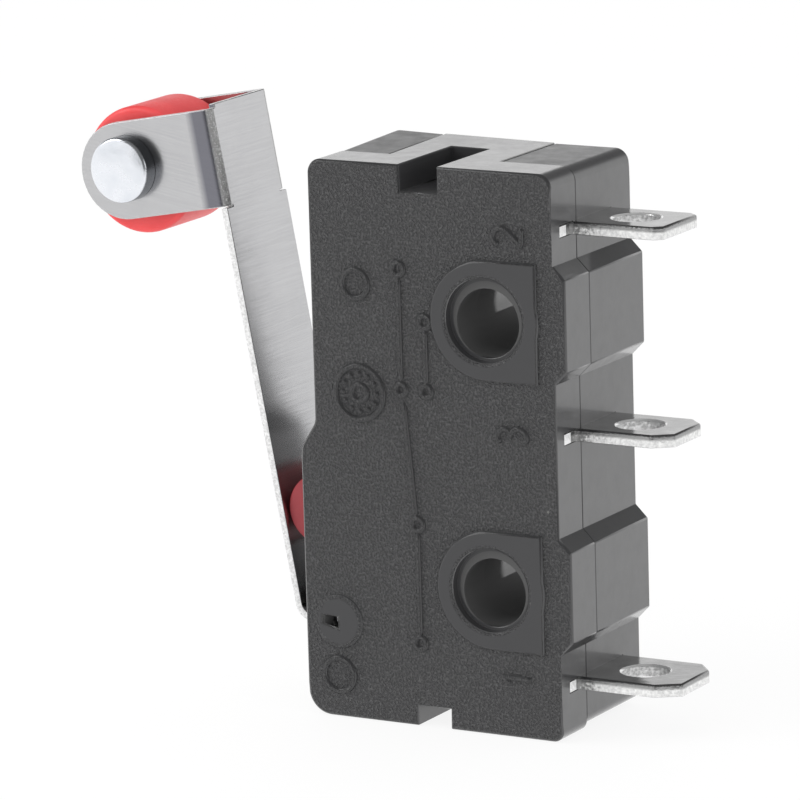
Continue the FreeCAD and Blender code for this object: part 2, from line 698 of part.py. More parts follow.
class Blade:
    """Outer end of a terminal: its width, its reach and the two cut corners of its tip."""

    def __init__(self, width, reach, near_run, near_cut, far_run, far_cut):
        self.half = width / 2
        self.tip = terminal_face + reach
        self.near_corner = [(self.tip, near_cut - self.half), (self.tip - near_run, -self.half)]
        self.far_corner = [(self.tip - far_run, self.half), (self.tip, self.half - far_cut)]


def terminal_plan(inner_end, blade):
    """Plan of a terminal: narrow inside, a shoulder on the cover side, a blade with cut corners."""
    inside = inner_width / 2
    wall = cavity_right + joint_gap
    shoulder = terminal_face - shoulder_depth
    back_side = [(inner_end, inside), (wall, inside), (wall, blade.half)]
    cover_side = [
        (shoulder, -blade.half),
        (shoulder, -shoulder_reach),
        (wall, -shoulder_reach),
        (wall, -inside),
        (inner_end, -inside),
    ]
    return back_side + blade.far_corner + blade.near_corner + cover_side


def start_terminal(name, height, inner_end, blade):
    """Blank of a terminal with its wire hole."""
    piece = Piece(name)
    low = height - terminal_sheet / 2
    high = height + terminal_sheet / 2
    piece.pad("blank", "Z", low, high, terminal_plan(inner_end, blade))
    root = [(terminal_face - shoulder_depth, -blade.half)]
    piece.dress("Fillet", "root_rounding", piece.straight_edges("Z", root), root_round)
    hole = Circle(terminal_face + wire_hole_out, 0, wire_hole_radius)
    piece.pocket("wire_hole", "Z", low, high, hole)
    return piece, low, high


def fold(piece, inside, outside):
    """Round the two corners of a sheet fold whose edges run along Y."""
    piece.dress("Fillet", "fold_inside", piece.straight_edges("Y", [inside]), sheet_bend)
    piece.dress("Fillet", "fold_outside", piece.straight_edges("Y", [outside]), sheet_bend + terminal_sheet)


contact_hole = Circle(0, contact_z, contact_shank + joint_gap)


def make_common_terminal():
    """Terminal 1, with the notch that carries the arm and the lug that holds the spring."""
    blade = Blade(
        common_width, common_reach, common_near_run, common_near_cut, common_far_run, common_far_cut
    )
    piece, low, high = start_terminal("common_terminal", common_z, lug_left, blade)
    lug = box(lug_left, low, lug_right, high + lug_height)
    piece.pad("lug", "Y", -lug_width / 2, lug_width / 2, lug)
    notch = box(arm_x - notch_half, high - notch_depth, arm_x + notch_half, high + ROOT)
    piece.pocket("notch", "Y", -inner_width / 2, inner_width / 2, notch)
    return piece


def make_open_terminal():
    """Terminal 3, folded up into the plate of the normally open contact."""
    blade = Blade(open_width, open_reach, open_near_run, open_near_cut, open_far_run, open_far_cut)
    piece, low, high = start_terminal("normally_open_terminal", open_z, open_plate_left, blade)
    half = inner_width / 2
    plate = box(open_plate_left, low, open_plate_right, contact_z + plate_margin)
    piece.pad("plate", "Y", -half, half, plate)
    fold(piece, (open_plate_right, high), (open_plate_left, low))
    piece.pocket("contact_hole", "X", open_plate_left, open_plate_right, contact_hole)
    return piece


def make_closed_terminal():
    """Terminal 2, folded down along the lever-side wall to the normally closed contact."""
    blade = Blade(
        closed_width, closed_reach, closed_near_run, closed_near_cut, closed_far_run, closed_far_cut
    )
    piece, low, high = start_terminal("normally_closed_terminal", closed_z, closed_plate_left, blade)
    half = inner_width / 2
    plate = box(closed_plate_left, contact_z - plate_margin, closed_plate_right, high)
    piece.pad("plate", "Y", -half, half, plate)
    fold(piece, (closed_plate_right, low), (closed_plate_left, high))
    piece.pocket("contact_hole", "X", closed_plate_left, closed_plate_right, contact_hole)
    return piece


def make_rivet(name, face, shank_end):
    """Contact rivet turned about X: a domed head on a plain shank."""
    piece = Piece(name)
    towards = 1 if shank_end.number > face.number else -1
    head_back = face + contact_height * towards
    rim = face + contact_dome * towards
    outline = [
        (face, 0),
        (face, contact_radius * 0.5),
        (rim, contact_radius),
        (head_back, contact_radius),
        (head_back, contact_shank),
        (shank_end, contact_shank),
        (shank_end, 0),
    ]
    piece.revolve("turned", "Y", 0, "H_Axis", outline)
    piece.put(as_size(0), as_size(0), contact_z)
    return piece


def make_moving_contact():
    """Contact rivet with a head on each side of the arm."""
    piece = Piece("moving_contact")
    left = arm_left - contact_height
    right = arm_right + contact_height
    shank = contact_shank
    outline = [
        (left, 0),
        (left, contact_radius * 0.5),
        (left + contact_dome, contact_radius),
        (arm_left, contact_radius),
        (arm_left, shank),
        (arm_right, shank),
        (arm_right, contact_radius),
        (right - contact_dome, contact_radius),
        (right, contact_radius * 0.5),
        (right, 0),
    ]
    piece.revolve("turned", "Y", 0, "H_Axis", outline)
    piece.put(as_size(0), as_size(0), contact_z)
    return piece


def make_arm():
    """Flat blade with a long opening for the spring and a hole for its contact."""
    piece = Piece("moving_arm")
    half = arm_width / 2
    window = arm_window / 2
    blade = box(-half, arm_foot, half, contact_z + plate_margin)
    piece.pad("blade", "X", arm_left, arm_right, blade)
    opening = box(-window, arm_foot + arm_window_foot, window, contact_z - arm_bridge)
    piece.pocket("opening", "X", arm_left, arm_right, opening)
    piece.pocket("contact_hole", "X", arm_left, arm_right, contact_hole)
    return piece


def make_spring():
    """Coil tension spring between the arm's opening and the common terminal's lug."""
    upper = Vector(arm_x.number, 0, (contact_z - arm_bridge).number)
    lower = Vector(((lug_left + lug_right) / 2).number, 0, (common_z + lug_height).number)
    along = (lower - upper).normalize()
    start = upper + along * (spring_end_gap + spring_wire).number
    length = (lower - upper).Length - 2 * (spring_end_gap + spring_wire).number
    pitch = length / spring_turns.number
    coil = Part.makeHelix(pitch, length, spring_radius.number)
    turns = [2 * math.pi * i / WIRE_SIDES for i in range(WIRE_SIDES + 1)]
    across = [spring_radius.number + spring_wire.number * math.cos(turn) for turn in turns]
    up = [spring_wire.number * math.sin(turn) for turn in turns]
    section = Part.makePolygon([Vector(a, 0, b) for a, b in zip(across, up)])
    shape = Part.Wire(coil.Edges).makePipeShell([section], True, True)
    spring = doc.addObject("Part::Feature", "snap_spring")
    spring.Label = "snap_spring"
    spring.Shape = Part.Solid(shape) if shape.ShapeType != "Solid" else shape
    spring.Placement = FreeCAD.Placement(start, FreeCAD.Rotation(Vector(0, 0, 1), along))
    return spring


pieces = [
    make_housing().body,
    make_cover().body,
    make_lever().body,
    make_pin().body,
    make_roller().body,
    make_plunger().body,
    make_common_terminal().body,
    make_open_terminal().body,
    make_closed_terminal().body,
    make_rivet("nc_contact", closed_face, closed_plate_left).body,
    make_rivet("no_contact", open_face, open_plate_right).body,
    make_arm().body,
    make_moving_contact().body,
    make_spring(),
]
doc.recompute()

for thing in doc.Objects:
    if "Invalid" in thing.State or "Error" in thing.State:
        raise RuntimeError(f"{thing.Label} did not compute: {thing.State}")
for piece in pieces:
    if piece.Shape.isNull() or not piece.Shape.isValid():
        raise RuntimeError(f"{piece.Label} has no valid shape")

os.makedirs("parts", exist_ok=True)
for piece in pieces:
    piece.Shape.exportStep(f"parts/{piece.Label}.step")
    extent = piece.Shape.BoundBox
    print(f"{piece.Label}: {len(piece.Shape.Solids)} solid, {piece.Shape.Volume:.2f} mm3,"
          f" x {extent.XMin:.2f} to {extent.XMax:.2f}, y {extent.YMin:.2f} to {extent.YMax:.2f},"
          f" z {extent.ZMin:.2f} to {extent.ZMax:.2f}")
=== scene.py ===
# %% [markdown]
# Roller lever snap switch: the looks.
# The rigid model comes packed as a frame, in metres. This script keeps its sizes, gives every
# piece its finish, and adds what only the eye needs: softened edges, raised figures, moulding
# marks and fine texture. The front of the case faces -Y, the terminals point along +X.

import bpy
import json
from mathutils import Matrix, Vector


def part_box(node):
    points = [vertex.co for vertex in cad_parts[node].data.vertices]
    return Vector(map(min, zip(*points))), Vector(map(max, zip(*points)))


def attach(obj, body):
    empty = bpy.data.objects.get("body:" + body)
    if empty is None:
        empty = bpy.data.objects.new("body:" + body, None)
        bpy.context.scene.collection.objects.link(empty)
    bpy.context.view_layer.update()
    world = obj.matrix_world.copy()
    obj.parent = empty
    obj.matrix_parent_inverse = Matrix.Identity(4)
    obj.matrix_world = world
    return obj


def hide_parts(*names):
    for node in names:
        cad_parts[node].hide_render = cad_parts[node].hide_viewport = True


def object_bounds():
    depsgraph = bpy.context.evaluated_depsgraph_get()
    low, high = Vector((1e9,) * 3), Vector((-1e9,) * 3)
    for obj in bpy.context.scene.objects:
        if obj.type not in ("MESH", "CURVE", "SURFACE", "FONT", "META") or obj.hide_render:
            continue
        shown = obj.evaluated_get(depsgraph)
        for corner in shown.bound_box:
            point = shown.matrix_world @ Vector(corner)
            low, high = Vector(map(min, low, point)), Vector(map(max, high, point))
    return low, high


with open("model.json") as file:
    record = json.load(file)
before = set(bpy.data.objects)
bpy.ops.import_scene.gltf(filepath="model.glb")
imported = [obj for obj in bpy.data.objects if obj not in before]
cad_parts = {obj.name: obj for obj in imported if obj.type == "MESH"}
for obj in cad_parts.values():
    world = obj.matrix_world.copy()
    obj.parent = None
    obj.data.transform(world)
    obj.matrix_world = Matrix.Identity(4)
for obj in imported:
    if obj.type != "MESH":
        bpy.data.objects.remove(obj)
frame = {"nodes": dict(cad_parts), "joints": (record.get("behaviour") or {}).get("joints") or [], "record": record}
cad_box = [list(corner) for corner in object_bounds()]

# %% [markdown]
# What the frame tells. Sizes are written as millimetres times MM. The record says which body and
# finish each piece has, and where the holes and the pivot are, so no place is guessed.

# %% Places and names from the frame
import json
import math

import bmesh
import bpy
import numpy as np
from mathutils import Matrix, Vector

MM = 0.001
nodes = frame["nodes"]
record = frame["record"]
body_of = {name: body for body, names in record["behaviour"]["bodies"].items() for name in names}
slot_of = {part["node"]: part["material_slot"] for part in record["subparts"]}
mount_place = {mount["name"]: mount["pos_m"] for mount in record["mounts"]}
PIVOT = Vector(next(joint["pos_m"] for joint in frame["joints"] if joint["name"] == "lever_hinge"))
HOLES = [Vector(mount_place["mounting_hole_lower"]), Vector(mount_place["mounting_hole_upper"])]
HOLE_PITCH = HOLES[1].z - HOLES[0].z
BLADES = {
    name.replace("_wire_hole", "_terminal"): place[2]
    for name, place in mount_place.items() if name.endswith("_wire_hole")
}
cover_low, cover_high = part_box("front_cover")
PAD_RISE = 0.1 * MM
FACE = cover_low.y + PAD_RISE
PARTING = -1.1 * MM


def show(name, data):
    """New object in the scene, at the origin."""
    thing = bpy.data.objects.new(name, data)
    bpy.context.scene.collection.objects.link(thing)
    return thing


print("pieces:", sorted(nodes))
print("box in mm:", [[round(v / MM, 2) for v in corner] for corner in cad_box])
print("front plane at y =", round(FACE / MM, 3), "mm, blades:", sorted(BLADES))

# %% [markdown]
# The camera. A pinhole camera was fitted to the photograph by measurements of the case,
# its two holes and the blades. It stands 200 mm away and looks a little down on the cover
# from the terminal side, so the long lens keeps the case's edges nearly parallel.

# %% Camera
CAMERA_PLACE = Vector((96.03, -175.9, 49.63)) * MM
CAMERA_YAW = math.radians(29.89)
CAMERA_PITCH = math.radians(12.21)
CAMERA_ROLL = math.radians(-1.67)
FOCAL_PIXELS = 5907
IMAGE_PIXELS = 800
SENSOR = 36
NEAREST, FARTHEST = 0.01, 10


def add_camera():
    """Camera from yaw, pitch and roll: forward, right and up are turned in that order."""
    forward = Vector((
        -math.sin(CAMERA_YAW) * math.cos(CAMERA_PITCH),
        math.cos(CAMERA_YAW) * math.cos(CAMERA_PITCH),
        -math.sin(CAMERA_PITCH),
    ))
    level_right = Vector((math.cos(CAMERA_YAW), math.sin(CAMERA_YAW), 0))
    level_up = level_right.cross(forward)
    right = math.cos(CAMERA_ROLL) * level_right + math.sin(CAMERA_ROLL) * level_up
    up = math.cos(CAMERA_ROLL) * level_up - math.sin(CAMERA_ROLL) * level_right
    turn = Matrix((right, up, -forward)).transposed().to_4x4()
    camera = show("camera", bpy.data.cameras.new("camera"))
    camera.matrix_world = Matrix.Translation(CAMERA_PLACE) @ turn
    camera.data.sensor_width = SENSOR
    camera.data.lens = FOCAL_PIXELS / IMAGE_PIXELS * SENSOR
    camera.data.clip_start = NEAREST
    camera.data.clip_end = FARTHEST
    bpy.context.scene.camera = camera
    return camera


camera = add_camera()
print("lens in mm:", round(camera.data.lens, 1))

# %% [markdown]
# Building materials from nodes. Each node makes a value, and the links carry it on. A helper
# class adds a node, fills its inputs with numbers or with other nodes' outputs, and hands back
# the output that is needed.

# %% Node helpers
NOISE_LOW, NOISE_HIGH = 0.3, 0.7


class Recipe:
    """Adds nodes to one tree. Numbers fill sockets, and sockets are linked."""

    def __init__(self, tree):
        self.tree = tree

    def put(self, sockets, values):
        for name, value in values.items():
            if isinstance(value, bpy.types.NodeSocket):
                self.tree.links.new(value, sockets[name])
            else:
                sockets[name].default_value = value

    def fill(self, sockets, **values):
        """Fills named sockets. An underscore in a name stands for a space."""
        self.put(sockets, {name.replace("_", " "): value for name, value in values.items()})

    def add(self, kind, inputs=None, **settings):
        node = self.tree.nodes.new("ShaderNode" + kind)
        for name, value in settings.items():
            setattr(node, name, value)
        self.put(node.inputs, inputs or {})
        return node

    def math(self, operation, first, second=0.0):
        return self.add("Math", {0: first, 1: second}, operation=operation).outputs[0]

    def both(self, first, *others):
        """Product of masks."""
        for other in others:
            first = self.math("MULTIPLY", first, other)
        return first

    def either(self, first, second):
        """The larger of two masks."""
        return self.math("MAXIMUM", first, second)

    def outside(self, mask):
        """One minus a mask."""
        return self.math("SUBTRACT", 1.0, mask)

    def ramp(self, value, low, high, start=0.0, end=1.0):
        """Straight line from start to end while value goes from low to high, flat outside."""
        inputs = {"Value": value, "From Min": low, "From Max": high, "To Min": start, "To Max": end}
        return self.add("MapRange", inputs).outputs[0]

    def spread(self, noise, start=0.0, end=1.0):
        """Stretches the range in which noise mostly lies to start and end."""
        return self.ramp(noise, NOISE_LOW, NOISE_HIGH, start, end)

    def tint(self, amount, first, second):
        """Mixes two colours: all first at 0, all second at 1."""
        return self.add("Mix", {0: amount, 6: first, 7: second}, data_type="RGBA").outputs[2]

    def mix(self, amount, first, second):
        """Mixes two numbers."""
        return self.add("Mix", {0: amount, 2: first, 3: second}, data_type="FLOAT").outputs[0]

    def part(self, vector, axis):
        """One coordinate of a vector."""
        return self.add("SeparateXYZ", {"Vector": vector}).outputs[axis]

    def combined(self, **parts):
        """Vector from coordinates; those not named are zero."""
        return self.add("CombineXYZ", parts).outputs[0]

    def vector(self, operation, first, second, output="Vector"):
        return self.add("VectorMath", {0: first, 1: second}, operation=operation).outputs[output]

    def dot(self, first, second):
        """How far one vector goes along another."""
        return self.vector("DOT_PRODUCT", first, second, "Value")

    def distance(self, spot, centre, axes):
        """Distance from a centre, counted only along the axes that are 1."""
        arm = self.vector("MULTIPLY", self.vector("SUBTRACT", spot, centre), axes)
        return self.vector("LENGTH", arm, (0, 0, 0), "Value")

    def spot(self, kind="Object"):
        """Object coordinates in metres, or the object's own normal."""
        return self.add("TexCoord").outputs[kind]

    def place(self):
        """Object coordinates in millimetres."""
        return self.add("Mapping", {"Vector": self.spot(), "Scale": (1 / MM, 1 / MM, 1 / MM)}).outputs[0]

    def noise(self, scale, detail, roughness, place=None):
        """Cloudy noise in millimetres, or at a place given by other nodes."""
        node = self.add("TexNoise", {"Vector": place or self.place()})
        self.fill(node.inputs, Scale=scale, Detail=detail, Roughness=roughness)
        return node.outputs[0]

    def relief(self, shader, height, strength, distance):
        """Bump from a height, straight into the shader's normal."""
        bump = self.add("Bump", {"Height": height, "Strength": strength, "Distance": distance * MM})
        self.fill(shader.inputs, Normal=bump.outputs[0])


def start_material(name):
    """New material with one Principled shader, and its recipe."""
    material = bpy.data.materials.new(name)
    material.use_nodes = True
    shader = material.node_tree.nodes["Principled BSDF"]
    return material, Recipe(material.node_tree), shader


def start_group(name, inputs, outputs):
    """Node group with named number inputs and named outputs."""
    tree = bpy.data.node_groups.new(name, "ShaderNodeTree")
    for label, value in inputs.items():
        socket = tree.interface.new_socket(label, in_out="INPUT", socket_type="NodeSocketFloat")
        socket.default_value = value
    for label in outputs:
        tree.interface.new_socket(label, in_out="OUTPUT", socket_type="NodeSocketFloat")
    source = tree.nodes.new("NodeGroupInput").outputs
    sink = tree.nodes.new("NodeGroupOutput").inputs
    return tree, Recipe(tree), source, sink


def use_group(recipe, tree, **inputs):
    """Places a node group in a material, fills its inputs and hands back its outputs."""
    return recipe.add("Group", inputs, node_tree=tree).outputs


print("helpers:", [name for name in vars(Recipe) if not name.startswith("_")])

# %% [markdown]
# Grain. Spark erosion leaves a fine pebbled face in a mould, so the plastic has it too, and torn
# metal looks alike at another size. Several finishes use it, so it is a group made once.

# %% Grain
def make_grain():
    """Pebbled surface: small rounded bumps of a given size in mm, with finer cells on top."""
    tree, recipe, source, sink = start_group("mould_grain", {"Size": 0.15}, ["Height", "Tone"])
    cells_per_bump = 2.3
    cell_share = 0.3
    spot = recipe.place()
    scale = recipe.math("DIVIDE", 1.0, source["Size"])
    pebbles = recipe.noise(scale, 2.0, 0.55, spot)
    finer = recipe.math("MULTIPLY", scale, cells_per_bump)
    inputs = {"Vector": spot, "Scale": finer, "Randomness": 1.0}
    cells = recipe.add("TexVoronoi", inputs, feature="SMOOTH_F1").outputs
    tops = recipe.ramp(cells["Distance"], 0.0, 0.8, 1.0, 0.0)
    height = recipe.mix(cell_share, recipe.ramp(pebbles, 0.36, 0.64), tops)
    recipe.fill(sink, Height=height, Tone=recipe.spread(pebbles))
    return tree


grain = make_grain()
print("group:", grain.name)

# %% [markdown]
# Lines. Cold rolling and drawing leave fine lines in a metal. Noise drawn out along two axes
# makes them, and a turn lets them follow a tilted piece.

# %% Rolling lines
def make_lines():
    """Fine lines of a given pitch in mm that run along X and Y and follow each other along Z."""
    tree, recipe, source, sink = start_group("rolled_lines", {"Turn": 0.0, "Pitch": 0.05}, ["Height"])
    drawn_out = 0.35 / MM
    angle = recipe.combined(Y=source["Turn"])
    turned = recipe.add("Mapping", {"Vector": recipe.spot(), "Rotation": angle})
    stretch = (drawn_out, drawn_out, 1 / MM)
    stretched = recipe.add("Mapping", {"Vector": turned.outputs[0], "Scale": stretch}).outputs[0]
    across = recipe.math("DIVIDE", recipe.part(stretched, "Z"), source["Pitch"])
    lined = recipe.combined(X=recipe.part(stretched, "X"), Y=recipe.part(stretched, "Y"), Z=across)
    recipe.fill(sink, Height=recipe.noise(1.0, 3.0, 0.7, lined))
    return tree


lines = make_lines()
print("group:", lines.name)

# %% [markdown]
# Worn edges, painted edge highlights and dust. Corners and cut edges catch the light, so a mask
# finds them, and the finishes paint them lighter: on the case as wear and painted highlight, on the
# metals as painted highlight. A few specks of dust keep a black surface from looking drawn.

# %% Edge mask and specks
def make_edges():
    """Mask of sharp edges: where a normal averaged over a radius in mm leaves the true one."""
    tree, recipe, source, sink = start_group("edge_mask", {"Radius": 0.05}, ["Mask"])
    metres = recipe.math("MULTIPLY", source["Radius"], MM)
    soft = recipe.add("Bevel", {"Radius": metres}, samples=6).outputs[0]
    likeness = recipe.dot(soft, recipe.add("NewGeometry").outputs["Normal"])
    recipe.fill(sink, Mask=recipe.ramp(likeness, 0.995, 0.85))
    return tree


def make_specks():
    """Mask of a few tiny specks: the middles of some cells of a coarse pattern."""
    tree, recipe, source, sink = start_group("dust_specks", {"Spacing": 1.0, "Size": 0.05}, ["Mask"])
    cells_left_clean = 0.6
    scale = recipe.math("DIVIDE", 1.0, source["Spacing"])
    inputs = {"Vector": recipe.place(), "Scale": scale, "Randomness": 1.0}
    cells = recipe.add("TexVoronoi", inputs).outputs
    reach = recipe.math("DIVIDE", source["Size"], source["Spacing"])
    near = recipe.math("LESS_THAN", cells["Distance"], reach)
    tone = recipe.add("SeparateColor", {"Color": cells["Color"]}).outputs[0]
    recipe.fill(sink, Mask=recipe.both(near, recipe.math("GREATER_THAN", tone, cells_left_clean)))
    return tree


edges = make_edges()
specks = make_specks()
print("groups:", edges.name, specks.name)

# %% [markdown]
# Dull and bright places of the case. The walls of the mounting holes and of the small window
# over the pivot are rougher than the outside, but the upper half of each hole's far end shines.
# The distance to the holes' axes and to the pivot tells where these places are.

# %% Places on the case
BORE_WALL = 1.34 * MM
GLINT_DEPTH = 0.05 * MM
GLINT_FADE = 0.3 * MM
GLINT_HEIGHT = -0.38 * MM
GLINT_EDGE = 0.03 * MM
WINDOW_REACH = 0.68 * MM
WINDOW_TOP = cover_low.y + 0.012 * MM
WINDOW_FLOOR = -2.0 * MM


def make_case_places():
    """Masks: the holes' walls, the shiny upper part of their far ends, and the window's inside."""
    tree, recipe, source, sink = start_group("case_places", {}, ["Bore", "Glint", "Window"])
    spot = recipe.spot()
    x, y, z = (recipe.part(spot, axis) for axis in "XYZ")
    upper = recipe.math("GREATER_THAN", z, HOLE_PITCH / 2)
    height = recipe.math("SUBTRACT", z, recipe.both(upper, HOLE_PITCH))
    away = recipe.distance(recipe.combined(X=x, Z=height), (0, 0, 0), (1, 1, 1))
    in_bore = recipe.math("LESS_THAN", away, BORE_WALL)
    far_end = recipe.ramp(y, GLINT_DEPTH, GLINT_DEPTH + GLINT_FADE)
    high = recipe.ramp(height, GLINT_HEIGHT, GLINT_HEIGHT + GLINT_EDGE)
    near = recipe.math("LESS_THAN", recipe.distance(spot, PIVOT, (1, 0, 1)), WINDOW_REACH)
    below = recipe.math("GREATER_THAN", y, WINDOW_TOP)
    in_cover = recipe.math("LESS_THAN", y, WINDOW_FLOOR)
    glint = recipe.both(far_end, high, in_bore)
    window = recipe.both(near, below, in_cover)
    recipe.fill(sink, Bore=in_bore, Glint=glint, Window=window)
    return tree


case_places = make_case_places()
print("group:", case_places.name)

# %% [markdown]
# The black case. It is glass-filled thermoplastic: the front was moulded against a spark-eroded
# face and is dull and pebbled, while the pads, the disc and the sides came off polished steel.
# One material makes both: which way a point faces and how far forward it lies lets the grain in.

# %% Case plastic
CASE_BLACK = (0.040, 0.040, 0.042, 1)
GRAIN_DENT_SHADE = (0.055, 0.055, 0.057, 1)
GRAIN_TOP_LIT = (0.104, 0.104, 0.106, 1)
WORN_EDGE_AND_HIGHLIGHT = (0.12, 0.12, 0.12, 1)
DUST = (0.35, 0.35, 0.34, 1)
DULL_WALL_LIGHTENED = (0.080, 0.080, 0.080, 1)
GRAIN_SIZE = 0.085
GRAIN_REACH = 0.094 * MM
PEEL_HEIGHT = 0.03


def make_case_plastic(name, dull_top=False):
    """Black plastic, pebbled on the front plane and polished elsewhere, but for a dull end face."""
    material, recipe, shader = start_material(name)
    normal = recipe.spot("Normal")
    to_front = recipe.ramp(recipe.part(normal, "Y"), -0.75, -0.97)
    off_face = recipe.math("ABSOLUTE", recipe.math("SUBTRACT", recipe.part(recipe.spot(), "Y"), FACE))
    pebbled = recipe.both(to_front, recipe.math("LESS_THAN", off_face, GRAIN_REACH))
    pebbles = use_group(recipe, grain, Size=GRAIN_SIZE)
    peel = recipe.noise(1.6, 3.0, 0.6)
    dust = use_group(recipe, specks, Spacing=1.3, Size=0.045)["Mask"]
    rim = use_group(recipe, edges, Radius=0.06)["Mask"]
    places = use_group(recipe, case_places)

    # Painted shade: the grain's dents are painted darker and its tops lighter.
    grained = recipe.tint(recipe.ramp(pebbles["Tone"], 0.25, 0.75), GRAIN_DENT_SHADE, GRAIN_TOP_LIT)
    colour = recipe.tint(pebbled, CASE_BLACK, grained)
    # Worn edges, partly a painted highlight: the case's edges are painted a little lighter.
    colour = recipe.tint(recipe.both(rim, 0.35), colour, WORN_EDGE_AND_HIGHLIGHT)
    colour = recipe.tint(recipe.both(dust, 0.5), colour, DUST)
    # The walls of the holes and the window are rough, and they are also painted lighter: painted light in these
    # recesses.
    dull_lightened_wall = recipe.math("SUBTRACT", places["Bore"], places["Glint"])
    dull_lightened_wall = recipe.either(dull_lightened_wall, places["Window"])
    colour = recipe.tint(dull_lightened_wall, colour, DULL_WALL_LIGHTENED)

    polished = recipe.both(recipe.outside(to_front), recipe.outside(places["Bore"]))
    polished = recipe.math("ADD", polished, places["Glint"])
    if dull_top:
        polished = recipe.both(polished, recipe.ramp(recipe.part(normal, "Z"), 0.8, 0.95, 1.0, 0.2))
    roughness = recipe.mix(pebbled, recipe.spread(peel, 0.28, 0.40), 0.5)
    recipe.fill(shader.inputs, Base_Color=colour, Roughness=recipe.mix(dull_lightened_wall, roughness, 0.6))
    recipe.fill(shader.inputs, Coat_Weight=polished, Coat_Roughness=0.12, IOR=1.5)
    height = recipe.math("ADD", recipe.both(pebbles["Height"], pebbled), recipe.both(peel, PEEL_HEIGHT))
    recipe.relief(shader, height, 1.0, 0.14)
    return material


case_plastic = make_case_plastic("case_plastic")
housing_plastic = make_case_plastic("housing_plastic", dull_top=True)
print("case materials:", case_plastic.name, housing_plastic.name)

# %% [markdown]
# The lever. It is cold-rolled stainless strip: its rolling lines run across it, its sheared edges
# are torn and bright, and the ears have a rough bright fold. Behind each fold a band of the ear is
# painted dark: a painted reflection of the dark room. These places are found along the tilted
# strip's own two directions, in millimetres from the pivot.

# %% Lever steel
LEVER_TILT = math.radians(10.1)
OUTWARD = (-math.cos(LEVER_TILT), 0, -math.sin(LEVER_TILT))
LENGTHWISE = (-math.sin(LEVER_TILT), 0, math.cos(LEVER_TILT))
STRIP_OUT = 2.17
EAR_LOW = 14.88
REFLECTION_BAND_START, REFLECTION_BAND_END = 2.92, 2.60
STRIP_DARK, STRIP_LIGHT = (0.52, 0.52, 0.53, 1), (0.58, 0.58, 0.59, 1)
PAINTED_BAND_REFLECTION = (0.14, 0.14, 0.17, 1)
FOLD_TONE = (0.50, 0.50, 0.50, 1)
TORN_DARK, TORN_LIGHT_AND_EDGE_HIGHLIGHT = (0.62, 0.62, 0.62, 1), (0.95, 0.95, 0.95, 1)


def make_lever_steel():
    """Rolled strip: fine cross lines, torn bright edges with a painted highlight, and a band painted dark behind
    each ear's fold as a painted reflection.
    """
    material, recipe, shader = start_material("lever_steel")
    normal = recipe.spot("Normal")
    from_pivot = recipe.vector("SUBTRACT", recipe.spot(), PIVOT)
    out = recipe.math("DIVIDE", recipe.dot(from_pivot, OUTWARD), MM)
    along = recipe.math("DIVIDE", recipe.dot(from_pivot, LENGTHWISE), MM)
    lined = use_group(recipe, lines, Turn=-LEVER_TILT, Pitch=0.06)["Height"]
    rough = use_group(recipe, grain, Size=0.09)
    scraped = use_group(recipe, grain, Size=0.05)["Tone"]
    rim = use_group(recipe, edges, Radius=0.04)["Mask"]
    stain = recipe.noise(0.5, 4.0, 0.6)

    sideways = recipe.math("ABSOLUTE", recipe.part(normal, "Y"))
    below_ear = recipe.math("LESS_THAN", along, EAR_LOW)
    in_strip = recipe.both(recipe.math("LESS_THAN", out, STRIP_OUT), below_ear)
    cut_side = recipe.both(recipe.math("GREATER_THAN", sideways, 0.7), in_strip)
    endways = recipe.math("ABSOLUTE", recipe.dot(normal, LENGTHWISE))
    cut = recipe.either(cut_side, recipe.math("GREATER_THAN", endways, 0.8))
    on_ear = recipe.both(recipe.math("GREATER_THAN", sideways, 0.12), recipe.outside(below_ear))
    flat = recipe.ramp(sideways, 0.78, 0.92)
    reflection_band = recipe.both(flat, recipe.ramp(out, REFLECTION_BAND_START, REFLECTION_BAND_END), on_ear)
    fold = recipe.both(recipe.outside(flat), on_ear)
    torn = recipe.either(cut, recipe.both(fold, recipe.ramp(scraped, 0.60, 0.75, 0.0, 0.8)))

    tone = recipe.mix(0.4, lined, stain)
    colour = recipe.tint(recipe.spread(tone), STRIP_DARK, STRIP_LIGHT)
    # Painted reflection: a band of the ear behind the fold is painted dark, for the dark room it mirrors.
    colour = recipe.tint(recipe.both(reflection_band, 0.85), colour, PAINTED_BAND_REFLECTION)
    colour = recipe.tint(fold, colour, FOLD_TONE)
    colour = recipe.tint(torn, colour, recipe.tint(rough["Tone"], TORN_DARK, TORN_LIGHT_AND_EDGE_HIGHLIGHT))
    # Painted highlight: the lever's edges are painted bright.
    colour = recipe.tint(recipe.both(rim, 0.5), colour, TORN_LIGHT_AND_EDGE_HIGHLIGHT)
    roughness = recipe.mix(torn, recipe.mix(fold, recipe.spread(tone, 0.28, 0.18), 0.6), 0.5)
    metallic = recipe.mix(torn, 1.0, 0.3)
    recipe.fill(shader.inputs, Base_Color=colour, Roughness=roughness, Metallic=metallic)
    recipe.relief(shader, recipe.mix(torn, recipe.both(lined, 0.22), rough["Height"]), 0.35, 0.03)
    return material


lever_steel = make_lever_steel()
print("lever tilt in degrees:", round(math.degrees(LEVER_TILT), 1))

# %% [markdown]
# The pin. It is a turned steel rivet: bright and a little bluish on its head, which the riveting
# left softly dented. Its side, where it faces the gap, is painted dark: painted reflection and shade.

# %% Pin steel
PIN_DARK, PIN_LIGHT = (0.80, 0.83, 0.88, 1), (0.90, 0.92, 0.96, 1)
PIN_SIDE_PAINTED_DARK = (0.24, 0.25, 0.27, 1)


